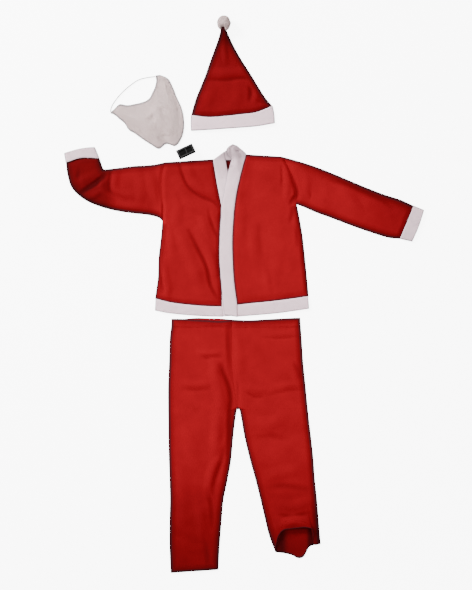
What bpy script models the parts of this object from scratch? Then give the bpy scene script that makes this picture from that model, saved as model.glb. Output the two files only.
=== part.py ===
"""A child's Santa suit laid out flat: jacket, trousers, hat, beard and rolled belt.

Left and right in the names are the wearer's. Lengths are in millimetres until a mesh is made.
X runs across the suit, Y from the feet to the hat and Z up from the surface it lies on. A piece
is drawn in plan as a table of rows, and its height above the surface is worked out from the
layers under it and from a table of folds.
"""
import math
from collections import namedtuple

import bmesh
import bpy
import numpy as np
from mathutils import Vector

MM = 0.001

# Walls and gaps
RED_WALL = 1.2
WHITE_WALL = 2.0
CASING_WALL = 2.4
SEAM_GAP = 0.3
FOLD_GAP = 0.7
EDGE_OFFSET = 0.5
PUFF = 1.6

# Hat and pompom
TIP_RISE = 9.0
TIP_RISE_LENGTH = 90.0
POMPOM_CENTRE = (-63.0, 838.9, 14.8)
POMPOM_RADII = (17.0, 17.0, 14.5)
LOCK_LENGTH = 6.0
LOCK_TAPER = 1.1
LOCK_LOWEST = -0.45

# Beard and its elastic
BEARD_EDGE = 4.0
BEARD_CENTRE = 10.0
ELASTIC_DIAMETER = 2.4
ELASTIC_HEIGHT = 1.5

# Rolled belt and buckle
BELT_WIDTH = 50.5
ROLL_ACROSS = 27.4
ROLL_HEIGHT = 18.0
ROLL_STEP = 0.07
ROLL_SIDES = 22
BELT_CENTRE = (-181.0, 441.2)
BELT_ANGLE = math.radians(24.6)
BUCKLE_LENGTH = 49.0
BUCKLE_WIDTH = 24.0
BUCKLE_RIM = 4.0
BUCKLE_BAR = 5.0
BUCKLE_THICKNESS = 3.0

Panel = namedtuple("Panel", "left_x left_y right_x right_y")
Tube = namedtuple("Tube", "fold_x fold_y seam_x seam_y")
Fold = namedtuple("Fold", "x1 y1 x2 y2 height half_width")

# Seam between the red jacket and its plush hem, from the right side seam to the left one.
HEM_SEAM = [(-275, -14), (-223, -27), (-136, -36.5), (-69, -39), (-23, -33), (101, -20.5), (197.5, -7)]
# Back neckline, from the right shoulder seam to the left one.
BACK_NECK = [(-97, 416), (-70, 416), (-42, 415), (-17, 419), (5, 431)]
# Armholes, from the shoulder down to the underarm.
RIGHT_ARMHOLE = [(-245, 406.5), (-256, 360), (-256, 317), (-252, 273), (-253, 226)]
LEFT_ARMHOLE = [(117, 424), (135, 394), (153, 354), (163, 314), (161, 281)]
# Seam between the hat's cone and its brim, from the fold to the cone's seam.
BRIM_SEAM = [(-163, 558.5), (-112, 550.5), (-63, 554), (-13.5, 557.5), (35.5, 564), (85.5, 585)]

BACK_ROWS = [
    Panel(-275, -14, 197.5, -7),
    Panel(-270.5, 19, 193, 44),
    Panel(-266, 54, 186, 115),
    Panel(-264, 113, 178, 185.5),
    Panel(-257, 173, 166, 252.5),
    Panel(-253, 226, 161, 281),
    Panel(-252, 273, 163, 314),
    Panel(-256, 317, 153, 354),
    Panel(-256, 360, 135, 394),
    Panel(-245, 406.5, 117, 424),
]
RIGHT_FRONT_ROWS = [
    Panel(-275, -14, -69, -39),
    Panel(-270.5, 19, -69.5, 13),
    Panel(-266, 54, -74, 59),
    Panel(-264, 113, -77, 115),
    Panel(-257, 173, -76.5, 168),
    Panel(-253, 226, -74, 221),
    Panel(-252, 273, -70, 261),
    Panel(-256, 317, -76.5, 301),
    Panel(-256, 360, -85.5, 347.5),
    Panel(-245, 406.5, -97, 416),
]
LEFT_FRONT_ROWS = [
    Panel(-23, -33, 197.5, -7),
    Panel(-32, 35.5, 193, 44),
    Panel(-36.5, 106, 186, 115),
    Panel(-37.5, 174, 178, 185.5),
    Panel(-34, 236, 166, 252.5),
    Panel(-31, 270, 161, 281),
    Panel(-24.5, 314, 163, 314),
    Panel(-14.5, 359.5, 153, 354),
    Panel(-4, 399.5, 135, 394),
    Panel(5, 431, 117, 424),
]
RIGHT_BAND_ROWS = [
    Panel(-66, -69, -27, -67),
    Panel(-69, -39, -29, -39),
    Panel(-69.5, 13, -33, 13),
    Panel(-74, 59, -35, 59),
    Panel(-77, 115, -38, 115),
    Panel(-76.5, 168, -37, 168),
    Panel(-74, 221, -35, 221),
    Panel(-70, 261, -33, 261),
    Panel(-76.5, 301, -38, 303),
    Panel(-85.5, 347.5, -46, 350),
    Panel(-97, 416, -63, 441),
]
LEFT_BAND_ROWS = [
    Panel(-61, -64, -22, -71),
    Panel(-66, -31, -23, -33),
    Panel(-72, 38, -32, 35.5),
    Panel(-77, 106, -36.5, 106),
    Panel(-76, 174, -37.5, 174),
    Panel(-72.5, 235.5, -34, 236),
    Panel(-71.5, 271, -31, 270),
    Panel(-63, 316, -24.5, 314),
    Panel(-55, 362, -14.5, 359.5),
    Panel(-47, 402, -4, 399.5),
    Panel(-42, 419, 5, 431),
    Panel(-51, 430, 4, 436),
    Panel(-56, 444, -3, 443),
    Panel(-50, 455, -14, 452),
    Panel(-36, 464, -25, 460),
]
NECK_BAND_ROWS = [
    Panel(-92, 416, -66, 437),
    Panel(-70, 416, -53, 447),
    Panel(-42, 415, -34, 461),
    Panel(-17, 419, -14, 449),
    Panel(3, 430, 4, 433),
]
RIGHT_HEM_ROWS = [
    Panel(-275, -14, -277, -51),
    Panel(-223, -27, -225, -60.5),
    Panel(-136, -36.5, -136, -68),
    Panel(-69, -39, -66, -70),
]
LEFT_HEM_ROWS = [
    Panel(-23, -33, -22, -70),
    Panel(101, -20.5, 101, -59.5),
    Panel(197.5, -7, 200.5, -45.5),
]
BACK_HEM_ROWS = [
    Panel(-275, -14, -276, -49),
    Panel(-223, -27, -224, -57),
    Panel(-136, -36.5, -136, -66),
    Panel(-69, -39, -68, -67),
    Panel(-23, -33, -22, -67),
    Panel(101, -20.5, 101, -57),
    Panel(197.5, -7, 199, -41),
]
RIGHT_SLEEVE_ROWS = [
    Tube(-245, 406.5, -253, 226),
    Tube(-276, 399.5, -267, 239.5),
    Tube(-305, 396.5, -303, 248),
    Tube(-342, 394.5, -342, 252),
    Tube(-392, 388.5, -398.5, 260.5),
    Tube(-428, 384.5, -454.5, 276),
    Tube(-438, 386, -498.5, 297.5),
    Tube(-443, 397, -532, 329.5),
    Tube(-447, 408.5, -545.5, 368.5),
    Tube(-452, 420, -551, 407),
]
# Seam between the right sleeve and its cuff, from the fold to the seam, arched in the middle.
RIGHT_CUFF_SEAM = [(-452, 420), (-501.5, 420), (-551, 407)]
RIGHT_CUFF_ROWS = [
    Tube(-452, 420, -551, 407),
    Tube(-466, 456, -556, 436),
]
LEFT_SLEEVE_ROWS = [
    Tube(117, 424, 161, 281),
    Tube(169.5, 409, 188, 270),
    Tube(220.5, 392.5, 221, 255.5),
    Tube(275, 371, 265, 239.5),
    Tube(329.5, 348, 308.5, 223),
    Tube(383.5, 325.5, 354.5, 206),
    Tube(433, 306.5, 404.5, 189),
    Tube(482.5, 290.5, 447.5, 176.5),
    Tube(522, 272, 485, 173),
]
LEFT_CUFF_ROWS = [
    Tube(522, 272, 485, 173),
    Tube(556, 258, 521, 165),
]
RIGHT_LEG_ROWS = [
    Tube(-223.5, -78, -38.5, -82),
    Tube(-224.5, -100, -38.5, -103),
    Tube(-229, -139.5, -38.5, -142),
    Tube(-231, -210, -38.5, -210),
    Tube(-234, -285, -31.5, -285),
    Tube(-234, -347, -19.5, -354),
    Tube(-233.5, -390, -27, -376),
    Tube(-233, -452, -36.5, -440.5),
    Tube(-231.5, -514, -43.5, -514),
    Tube(-229.5, -576, -54.5, -576.5),
    Tube(-228, -638, -67, -638.5),
    Tube(-229.5, -700, -72.5, -700.5),
    Tube(-229.5, -781, -79, -781),
    Tube(-226, -862, -82.5, -852),
]
LEFT_LEG_ROWS = [
    Tube(170.5, -75, -38.5, -82),
    Tube(172.5, -100, -38.5, -103),
    Tube(175.5, -140, -38.5, -142),
    Tube(180, -209.5, -38.5, -210),
    Tube(187.5, -284.5, -31.5, -285),
    Tube(193.5, -346.5, -19.5, -354),
    Tube(198, -389.5, -12.5, -376),
    Tube(205.5, -451.5, 2, -439.5),
    Tube(212, -513.5, 19.5, -513),
    Tube(216.5, -575.5, 37, -576),
    Tube(223, -637.5, 52.5, -638.5),
    Tube(228, -699.5, 67, -700.5),
    Tube(231.5, -743.5, 79, -748.5),
    Tube(234.5, -773, 98.5, -798),
]
# The left hem from the fold to the inside seam: the front is pushed up in an arch.
LEFT_HEM_BACK = [
    (234.5, -773), (217, -776), (200, -783), (184, -811), (167, -817), (149, -808), (132, -803),
    (115, -800), (98.5, -798),
]
LEFT_HEM_FRONT = [
    (234.5, -773), (213, -772), (212, -730), (190, -719), (165, -721), (142, -724), (121, -729),
    (105, -752), (98.5, -798),
]
CONE_ROWS = [
    Tube(-69, 822, -59, 822),
    Tube(-78.5, 789, -47.5, 790),
    Tube(-92.5, 753, -26.5, 753),
    Tube(-106, 714.5, -4, 714.5),
    Tube(-119, 677, 19.5, 678),
    Tube(-134, 640, 41.5, 641.5),
    Tube(-149, 602.5, 64.5, 606),
    Tube(-163, 558.5, 85.5, 585),
]
# Lower edge of the brim, which bulges a little.
BRIM_EDGE = [(-163, 506), (-112, 508.5), (-61, 512), (-10, 515.5), (41, 520), (92, 529)]
BRIM_ROWS = [
    Tube(-163, 558.5, 85.5, 585),
    Tube(-163, 506, 92, 529),
]
BEARD_ROWS = [
    Panel(-415, 563, -414, 560),
    Panel(-402.5, 573.5, -403.5, 556.5),
    Panel(-387, 588, -388, 543.5),
    Panel(-367, 585.5, -370.5, 528.5),
    Panel(-355, 586, -358, 509),
    Panel(-342.5, 588.5, -337, 496),
    Panel(-327.5, 591.5, -313, 478.5),
    Panel(-313.5, 595.5, -287.5, 462),
    Panel(-304.5, 599, -264, 450),
    Panel(-297.5, 604, -241.5, 465),
    Panel(-293, 608.5, -212.5, 459.5),
    Panel(-289.5, 614.5, -193.5, 485.5),
    Panel(-286.5, 621.5, -186.5, 519),
    Panel(-282, 630.5, -189, 555),
    Panel(-278, 639, -197.5, 584),
    Panel(-275, 650, -210, 611),
    Panel(-273, 661, -221, 639),
    Panel(-274, 670, -236.5, 666.5),
    Panel(-275, 677, -262, 679),
]
ELASTIC_ROUTE = [
    (-275.8, 674), (-299, 671), (-327, 664), (-349, 650), (-374, 629), (-398, 602), (-412, 579),
    (-415.2, 564.9),
]

RIGHT_FRONT_FOLDS = [
    Fold(-196, 396, -174, 331, 5.0, 24),
    Fold(-174, 331, -120, 297, 6.0, 22),
    Fold(-120, 297, -86, 275, 5.0, 20),
    Fold(-112, 246, -92, 184, 4.5, 20),
    Fold(-178, 198, -146, 136, 6.0, 24),
    Fold(-146, 136, -112, 66, 5.5, 24),
    Fold(-112, 66, -98, 8, 5.0, 20),
    Fold(-238, 60, -232, 12, 3.0, 20),
]
LEFT_FRONT_FOLDS = [
    Fold(24, 186, 34, 104, 3.0, 26),
    Fold(70, 60, 76, 14, 3.0, 22),
    Fold(132, 392, 142, 330, 4.0, 18),
    Fold(36, 392, 96, 352, 2.5, 30),
]
RIGHT_SLEEVE_FOLDS = [
    Fold(-516, 344, -456, 378, 6.0, 18),
    Fold(-478, 306, -428, 358, 6.0, 20),
    Fold(-414, 372, -404, 296, 5.0, 18),
    Fold(-394, 292, -340, 276, 4.0, 18),
    Fold(-300, 372, -284, 286, 4.0, 22),
]
LEFT_SLEEVE_FOLDS = [
    Fold(178, 392, 192, 300, 5.0, 16),
    Fold(214, 372, 232, 290, 4.0, 22),
    Fold(300, 320, 356, 262, 3.5, 24),
    Fold(420, 262, 462, 238, 3.0, 20),
]
RIGHT_LEG_FOLDS = [
    Fold(-82, -196, -62, -330, 6.5, 22),
    Fold(-72, -352, -76, -470, 5.5, 20),
    Fold(-140, -184, -92, -190, 4.0, 18),
    Fold(-190, -284, -104, -296, 4.5, 20),
    Fold(-86, -486, -112, -610, 5.0, 20),
    Fold(-176, -430, -150, -520, 3.5, 26),
    Fold(-190, -690, -120, -716, 3.5, 24),
    Fold(-160, -792, -104, -770, 3.0, 22),
]
LEFT_LEG_FOLDS = [
    Fold(80, -126, 146, -132, 4.0, 18),
    Fold(90, -290, 162, -300, 4.5, 20),
    Fold(6, -296, 44, -312, 3.5, 18),
    Fold(28, -420, 120, -384, 3.5, 24),
    Fold(70, -560, 176, -536, 3.5, 24),
    Fold(112, -662, 196, -640, 4.5, 20),
    Fold(110, -706, 204, -696, 7.0, 18),
]
CONE_FOLDS = [
    Fold(-116, 678, 12, 684, 4.0, 16),
    Fold(-40, 660, -30, 590, 3.0, 24),
    Fold(18, 634, 14, 602, 3.0, 14),
    Fold(-64, 780, -54, 720, 3.5, 14),
]


def remove_everything():
    """Empty the scene."""
    for found in list(bpy.data.objects):
        bpy.data.objects.remove(found, do_unlink=True)


def linear(level):
    """Turn one sRGB level from 0 to 255 into a linear value."""
    share = level / 255.0
    return share / 12.92 if share <= 0.04045 else ((share + 0.055) / 1.055) ** 2.4


def make_material(name, red, green, blue, roughness):
    """Make a plain Principled material from an sRGB colour."""
    material = bpy.data.materials.new(name)
    material.use_nodes = True
    shader = material.node_tree.nodes["Principled BSDF"]
    shader.inputs["Base Color"].default_value = (linear(red), linear(green), linear(blue), 1.0)
    shader.inputs["Roughness"].default_value = roughness
    shader.inputs["Metallic"].default_value = 0.0
    return material


def smooth_step(value, start, end):
    """Rise smoothly from 0 at start to 1 at end."""
    share = np.clip((value - start) / (end - start), 0.0, 1.0)
    return share * share * (3.0 - 2.0 * share)


def read_rows(rows, steps):
    """Read a table's rows, and the rows between them, as an array with one line for each row."""
    table = np.array(rows, float)
    wanted = np.linspace(0.0, len(table) - 1, (len(table) - 1) * steps + 1)
    known = np.arange(len(table))
    return np.stack([np.interp(wanted, known, column) for column in table.T], axis=1)


def read_edge(points, across):
    """Read an edge whose points stand at equal shares of the way across."""
    edge = np.array(points, float)
    known = np.linspace(0.0, 1.0, len(edge))
    return np.stack([np.interp(across, known, edge[:, axis]) for axis in (0, 1)], axis=-1)


def plan(sides, across, start=None, end=None, end_share=1.0):
    """Lay out a grid of plan points between two sides.

    sides holds one line for each row: x and y of its first point, x and y of its last point.
    across holds each grid point's share of the way from the first to the last. start and end
    bend the first and last row to an edge, and end_share is the part of the length that the
    last bend spreads over.
    """
    first = sides[:, None, :2]
    last = sides[:, None, 2:]
    grid = first + (last - first) * across[..., None]
    along = np.linspace(0.0, 1.0, len(sides))[:, None, None]
    if start is not None:
        chord = read_edge([start[0], start[-1]], across)
        grid = grid + (read_edge(start, across) - chord) * (1.0 - along)
    if end is not None:
        chord = read_edge([end[0], end[-1]], across)
        weight = np.clip(1.0 - (1.0 - along) / end_share, 0.0, 1.0)
        grid = grid + (read_edge(end, across) - chord) * weight
    return grid


def fold_height(grid, folds):
    """Height of the rounded ridges that a table of folds raises at each plan point."""
    height = np.zeros(grid.shape[:-1])
    for fold in folds:
        start = np.array([fold.x1, fold.y1], float)
        run = np.array([fold.x2 - fold.x1, fold.y2 - fold.y1], float)
        share = np.clip((grid - start) @ run / (run @ run), 0.0, 1.0)
        away = np.linalg.norm(grid - start - share[..., None] * run, axis=-1)
        nearness = np.clip(away / fold.half_width, 0.0, 1.0)
        height = np.maximum(height, fold.height * 0.5 * (1.0 + np.cos(math.pi * nearness)))
    return height


def ease(share, margin):
    """Fall smoothly to 0 at both ends of a share from 0 to 1, within the margin."""
    return smooth_step(share, 0.0, margin) * smooth_step(1.0 - share, 0.0, margin)


def lift_on_grid(grid, across, folds, puff, open_ends=(False, False)):
    """Height that the cloth stands above its lowest lie, which is 0 along its seams."""
    along = np.linspace(0.0, 1.0, len(grid))[:, None]
    first = 1.0 if open_ends[0] else smooth_step(along, 0.0, 0.12)
    last = 1.0 if open_ends[1] else smooth_step(1.0 - along, 0.0, 0.12)
    return (puff + fold_height(grid, folds)) * ease(across, 0.16) * first * last


def with_height(grid, height):
    """Join plan points and heights into points in space."""
    return np.concatenate([grid, np.broadcast_to(height, grid.shape[:-1])[..., None]], axis=-1)


def solid_between(name, outer, inner, material, ring=False):
    """Close the space between two grids of points into one solid object.

    ring joins the last column to the first, as round a tube.
    """
    rows, columns = outer.shape[:2]
    points = np.concatenate([outer.reshape(-1, 3), inner.reshape(-1, 3)]) * MM
    below = rows * columns
    faces = []
    spans = columns if ring else columns - 1
    for row in range(rows - 1):
        for column in range(spans):
            beside = (column + 1) % columns
            a = row * columns + column
            b = row * columns + beside
            c = (row + 1) * columns + beside
            d = (row + 1) * columns + column
            faces.append((a, b, c, d))
            faces.append((below + d, below + c, below + b, below + a))
    for row in (0, rows - 1):
        for column in range(spans):
            a = row * columns + column
            b = row * columns + (column + 1) % columns
            faces.append((a, b, below + b, below + a))
    if not ring:
        for row in range(rows - 1):
            for column in (0, columns - 1):
                a = row * columns + column
                b = (row + 1) * columns + column
                faces.append((a, b, below + b, below + a))
    return mesh_object(name, points, faces, material)


def mesh_object(name, points, faces, material):
    """Make a mesh object whose faces all point outwards."""
    mesh = bpy.data.meshes.new(name)
    mesh.from_pydata([tuple(point) for point in points], [], faces)
    built = bmesh.new()
    built.from_mesh(mesh)
    bmesh.ops.recalc_face_normals(built, faces=built.faces)
    built.to_mesh(mesh)
    built.free()
    mesh.materials.append(material)
    mesh.shade_smooth()
    mesh.set_sharp_from_angle(angle=math.radians(40))
    made = bpy.data.objects.new(name, mesh)
    bpy.context.collection.objects.link(made)
    return made


def over_back(grid):
    """Height of the upper layer's lowest lie over the jacket's back and its plush edges."""
    hem_x, hem_y = np.array(HEM_SEAM, float).T
    above_hem = grid[..., 1] - np.interp(grid[..., 0], hem_x, hem_y)
    on_hem = 1.0 - smooth_step(above_hem, 3.0, 24.0)
    on_neck = smooth_step(grid[..., 1], 350.0, 390.0)
    return RED_WALL + SEAM_GAP + (WHITE_WALL - RED_WALL) * np.maximum(on_hem, on_neck)


def flat_piece(name, rows, material, wall, columns, steps, low, high=0.0, shift=(0.0, 0.0), edges=None):
    """Make one piece of cloth that lies flat: low gives the height of its underside."""
    sides = read_rows(rows, steps)
    across = np.broadcast_to(np.linspace(0.0, 1.0, columns + 1), (len(sides), columns + 1))
    start, end = edges or (None, None)
    grid = plan(sides, across, start, end)
    underside = low(grid, across) if callable(low) else np.full(grid.shape[:-1], low)
    grid = grid + np.array(shift)
    outer = with_height(grid, underside + wall + high)
    inner = with_height(grid, underside)
    return solid_between(name, outer, inner, material)


def tube_piece(name, rows, material, wall, steps, folds, quarters=4, ends=None, ring=False, shift=(0, 0),
               rise=0.0, open_ends=(False, True)):
    """Make one piece of cloth that is folded over and lies flat as a tube.

    It runs from its edge at the seam, along the back, round the fold and along the front to the
    seam again. As a ring it is folded at the seam side too and closes on itself. quarters is the
    number of spans that an end edge has, and ends gives those edges: start, back end, front end.
    """
    sides = read_rows(rows, steps)
    length = np.linalg.norm(sides[:, 2:] - sides[:, :2], axis=1)[:, None]
    walls = wall[:, None] if isinstance(wall, np.ndarray) else np.full_like(length, wall)
    radius = walls + FOLD_GAP / 2.0
    turn = np.radians([-60.0, -20.0, 20.0, 60.0])[None, :]
    start, back_end, front_end = ends or (None, None, None)

    def stretch(share):
        """Share of the way across, leaving room for the fold at each folded side."""
        far = radius / length if ring else 0.0
        near = radius / length
        return near + share * (1.0 - near - far)

    back_share = np.linspace(1.0, 0.0, quarters + 1)[None, :]
    front_share = np.linspace(0.0, 1.0, 2 * quarters + 1)[None, :]
    back = plan(sides, stretch(back_share), start, back_end, 0.3)
    front_across = stretch(front_share)
    front = plan(sides, front_across, start, front_end, 0.3)
    seam_top = 2.0 * walls + (FOLD_GAP if ring else SEAM_GAP)
    lowest = seam_top + (2.0 * radius - seam_top) * (1.0 - front_share)
    front_shares = np.broadcast_to(front_share, front.shape[:-1])
    top = lowest + lift_on_grid(front, front_shares, folds, PUFF, open_ends)

    def bend(size, side):
        """Points round a fold, at the given distance from its centre line."""
        reach = (radius - size * np.cos(turn)) / length
        shares = reach if side == "near" else 1.0 - reach
        grid = plan(sides, shares, start, back_end, 0.3)
        return with_height(grid, radius + size * np.sin(turn))

    outer = [with_height(back, 0.0), bend(radius, "near"), with_height(front, top)]
    inner = [with_height(back, walls), bend(radius - walls, "near"), with_height(front, top - walls)]
    if ring:
        outer.append(bend(radius, "far")[:, ::-1])
        inner.append(bend(radius - walls, "far")[:, ::-1])
    lifted = np.array([0.0, 0.0, 1.0]) * np.broadcast_to(rise, (len(sides),))[:, None, None]
    moved = lifted + np.array([shift[0], shift[1], 0.0])
    return solid_between(
        name, np.concatenate(outer, axis=1) + moved, np.concatenate(inner, axis=1) + moved, material, ring)


def make_jacket(red, white):
    """Back, fronts, sleeves, cuffs, hem bands, front bands and neck band."""
    back_top = [RIGHT_ARMHOLE[0]] + BACK_NECK + [LEFT_ARMHOLE[0]]
    flat_piece("jacket_back", BACK_ROWS, red, RED_WALL, 12, 1, 0.0, edges=(HEM_SEAM, back_top))

    def right_front_low(grid, across):
        return over_back(grid) + lift_on_grid(grid, across, RIGHT_FRONT_FOLDS, PUFF)

    def left_front_low(grid, across):
        on_band = (WHITE_WALL + SEAM_GAP) * (1.0 - smooth_step(across, 0.05, 0.26))
        return over_back(grid) + on_band + lift_on_grid(grid, across, LEFT_FRONT_FOLDS, PUFF)

    flat_piece("jacket_front_right", RIGHT_FRONT_ROWS, red, RED_WALL, 12, 2, right_front_low,
               edges=(HEM_SEAM[:4], None))
    flat_piece("jacket_front_left", LEFT_FRONT_ROWS, red, RED_WALL, 12, 2, left_front_low,
               edges=(HEM_SEAM[4:], None))

    def on_back(grid, across):
        return over_back(grid)

    def on_right_band(grid, across):
        curl = fold_height(grid, [Fold(-50, 450, -44, 424, 5.0, 18)])
        return over_back(grid) + WHITE_WALL + SEAM_GAP + curl

    flat_piece("front_band_right", RIGHT_BAND_ROWS, white, WHITE_WALL, 3, 2, on_back, shift=(SEAM_GAP, 0))
    flat_piece("front_band_left", LEFT_BAND_ROWS, white, WHITE_WALL, 4, 2, on_right_band,
               shift=(-SEAM_GAP, 0))
    flat_piece("neck_band", NECK_BAND_ROWS, white, WHITE_WALL, 2, 2, 0.0, shift=(0, SEAM_GAP))
    hem_low = WHITE_WALL + SEAM_GAP
    flat_piece("hem_band_back", BACK_HEM_ROWS, white, WHITE_WALL, 2, 2, 0.0, shift=(0, -SEAM_GAP))
    flat_piece("hem_band_right", RIGHT_HEM_ROWS, white, WHITE_WALL, 2, 4, hem_low, shift=(0, -SEAM_GAP))
    flat_piece("hem_band_left", LEFT_HEM_ROWS, white, WHITE_WALL, 2, 5, hem_low,
               shift=(SEAM_GAP, -SEAM_GAP))

    tube_piece("sleeve_right", RIGHT_SLEEVE_ROWS, red, RED_WALL, 2, RIGHT_SLEEVE_FOLDS,
               ends=(RIGHT_ARMHOLE, RIGHT_CUFF_SEAM, RIGHT_CUFF_SEAM), shift=(-EDGE_OFFSET, 0),
               open_ends=(False, False))
    tube_piece("sleeve_left", LEFT_SLEEVE_ROWS, red, RED_WALL, 2, LEFT_SLEEVE_FOLDS,
               ends=(LEFT_ARMHOLE, None, None), shift=(EDGE_OFFSET, 0), open_ends=(False, False))
    tube_piece("cuff_right", RIGHT_CUFF_ROWS, white, WHITE_WALL, 3, [], ends=(RIGHT_CUFF_SEAM, None, None),
               ring=True, shift=(-EDGE_OFFSET, EDGE_OFFSET), open_ends=(True, True))
    tube_piece("cuff_left", LEFT_CUFF_ROWS, white, WHITE_WALL, 3, [], ring=True,
               shift=(2 * EDGE_OFFSET, 0), open_ends=(True, True))


def make_trousers(red):
    """Two legs, each with its half of the waist casing."""
    steps = 2
    rows = read_rows(RIGHT_LEG_ROWS, steps)
    row_number = np.linspace(0, len(RIGHT_LEG_ROWS) - 1, len(rows))
    wall = RED_WALL + (CASING_WALL - RED_WALL) * (1.0 - smooth_step(row_number, 0.9, 1.6))
    tube_piece("trouser_leg_right", RIGHT_LEG_ROWS, red, wall, steps, RIGHT_LEG_FOLDS,
               shift=(-SEAM_GAP / 2, 0), open_ends=(True, True))
    tube_piece("trouser_leg_left", LEFT_LEG_ROWS, red, wall, steps, LEFT_LEG_FOLDS,
               ends=(None, LEFT_HEM_BACK, LEFT_HEM_FRONT), shift=(SEAM_GAP / 2, 0), open_ends=(True, True))


def make_hat(red, white):
    """Cone, brim and pompom."""
    steps = 3
    sides = read_rows(CONE_ROWS, steps)
    below_tip = sides[0, 1] - sides[:, 1]
    rise = TIP_RISE * (1.0 - smooth_step(below_tip, 0.0, TIP_RISE_LENGTH))
    tube_piece("hat_cone", CONE_ROWS, red, RED_WALL, steps, CONE_FOLDS, quarters=5,
               ends=(None, BRIM_SEAM, BRIM_SEAM), rise=rise, open_ends=(False, False))
    tube_piece("hat_brim", BRIM_ROWS, white, WHITE_WALL, 3, [], quarters=5,
               ends=(BRIM_SEAM, BRIM_EDGE, BRIM_EDGE), ring=True, shift=(0, -2 * EDGE_OFFSET),
               open_ends=(True, True))
    make_pompom(white)


def make_pompom(white):
    """A round core whose faces are drawn out into three-sided locks of yarn."""
    built = bmesh.new()
    bmesh.ops.create_icosphere(built, subdivisions=3, radius=1.0)
    for point in built.verts:
        point.co.x *= POMPOM_RADII[0]
        point.co.y *= POMPOM_RADII[1]
        point.co.z *= POMPOM_RADII[2]
    built.normal_update()
    core_faces = list(built.faces)
    for number, face in enumerate(core_faces):
        towards_cone = face.normal.y < -0.7 and abs(face.normal.x) < 0.4
        if face.normal.z < LOCK_LOWEST or towards_cone:
            continue
        length = LOCK_LENGTH * (0.8 + 0.3 * math.sin(2.4 * number))
        bmesh.ops.inset_individual(built, faces=[face], thickness=LOCK_TAPER, depth=length)
    for point in built.verts:
        point.co.x = (point.co.x + POMPOM_CENTRE[0]) * MM
        point.co.y = (point.co.y + POMPOM_CENTRE[1]) * MM
        point.co.z = (point.co.z + POMPOM_CENTRE[2]) * MM
    mesh = bpy.data.meshes.new("hat_pompom")
    built.to_mesh(mesh)
    built.free()
    mesh.materials.append(white)
    made = bpy.data.objects.new("hat_pompom", mesh)
    bpy.context.collection.objects.link(made)


def make_beard(plush, elastic):
    """A sheet of long-pile plush, thickest in the middle, and its loop of round elastic."""
    sides = read_rows(BEARD_ROWS, 1)
    columns = 8
    across = np.broadcast_to(np.linspace(0.0, 1.0, columns + 1), (len(sides), columns + 1))
    along = np.linspace(0.0, 1.0, len(sides))[:, None]
    bulk = np.sqrt(np.maximum(ease(across, 0.45) * smooth_step(along, 0.0, 0.2) *
                              smooth_step(1.0 - along, 0.0, 0.15), 0.0))
    grid = plan(sides, across)
    waves = np.sin(grid[..., 0] * 0.11) * np.sin(grid[..., 1] * 0.09)
    top = BEARD_EDGE - WHITE_WALL + (BEARD_CENTRE - BEARD_EDGE + waves) * bulk
    flat_piece("beard", BEARD_ROWS, plush, WHITE_WALL, columns, 1, 0.0, high=top)

    curve = bpy.data.curves.new("beard_elastic", "CURVE")
    curve.dimensions = "3D"
    curve.bevel_depth = ELASTIC_DIAMETER / 2 * MM
    curve.bevel_resolution = 2
    curve.use_fill_caps = True
    route = smooth_route(ELASTIC_ROUTE, 60)
    spline = curve.splines.new("POLY")
    spline.points.add(len(route) - 1)
    for point, (x, y) in zip(spline.points, route):
        point.co = (x * MM, y * MM, ELASTIC_HEIGHT * MM, 1.0)
    curve.materials.append(elastic)
    made = bpy.data.objects.new("beard_elastic", curve)
    bpy.context.collection.objects.link(made)


def smooth_route(points, count):
    """Read a smooth curve through the points at equal shares of its length."""
    route = np.array(points, float)
    steps = np.linalg.norm(np.diff(route, axis=0), axis=1)
    knots = np.concatenate([[0.0], np.cumsum(steps)])
    slopes = np.gradient(route, knots, axis=0)
    wanted = np.linspace(0.0, knots[-1], count)
    span = np.clip(np.searchsorted(knots, wanted, side="right") - 1, 0, len(knots) - 2)
    width = (knots[span + 1] - knots[span])[:, None]
    t = (wanted - knots[span])[:, None] / width
    return ((2 * t ** 3 - 3 * t ** 2 + 1) * route[span] + (t ** 3 - 2 * t ** 2 + t) * width * slopes[span]
            + (3 * t ** 2 - 2 * t ** 3) * route[span + 1] + (t ** 3 - t ** 2) * width * slopes[span + 1])


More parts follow.
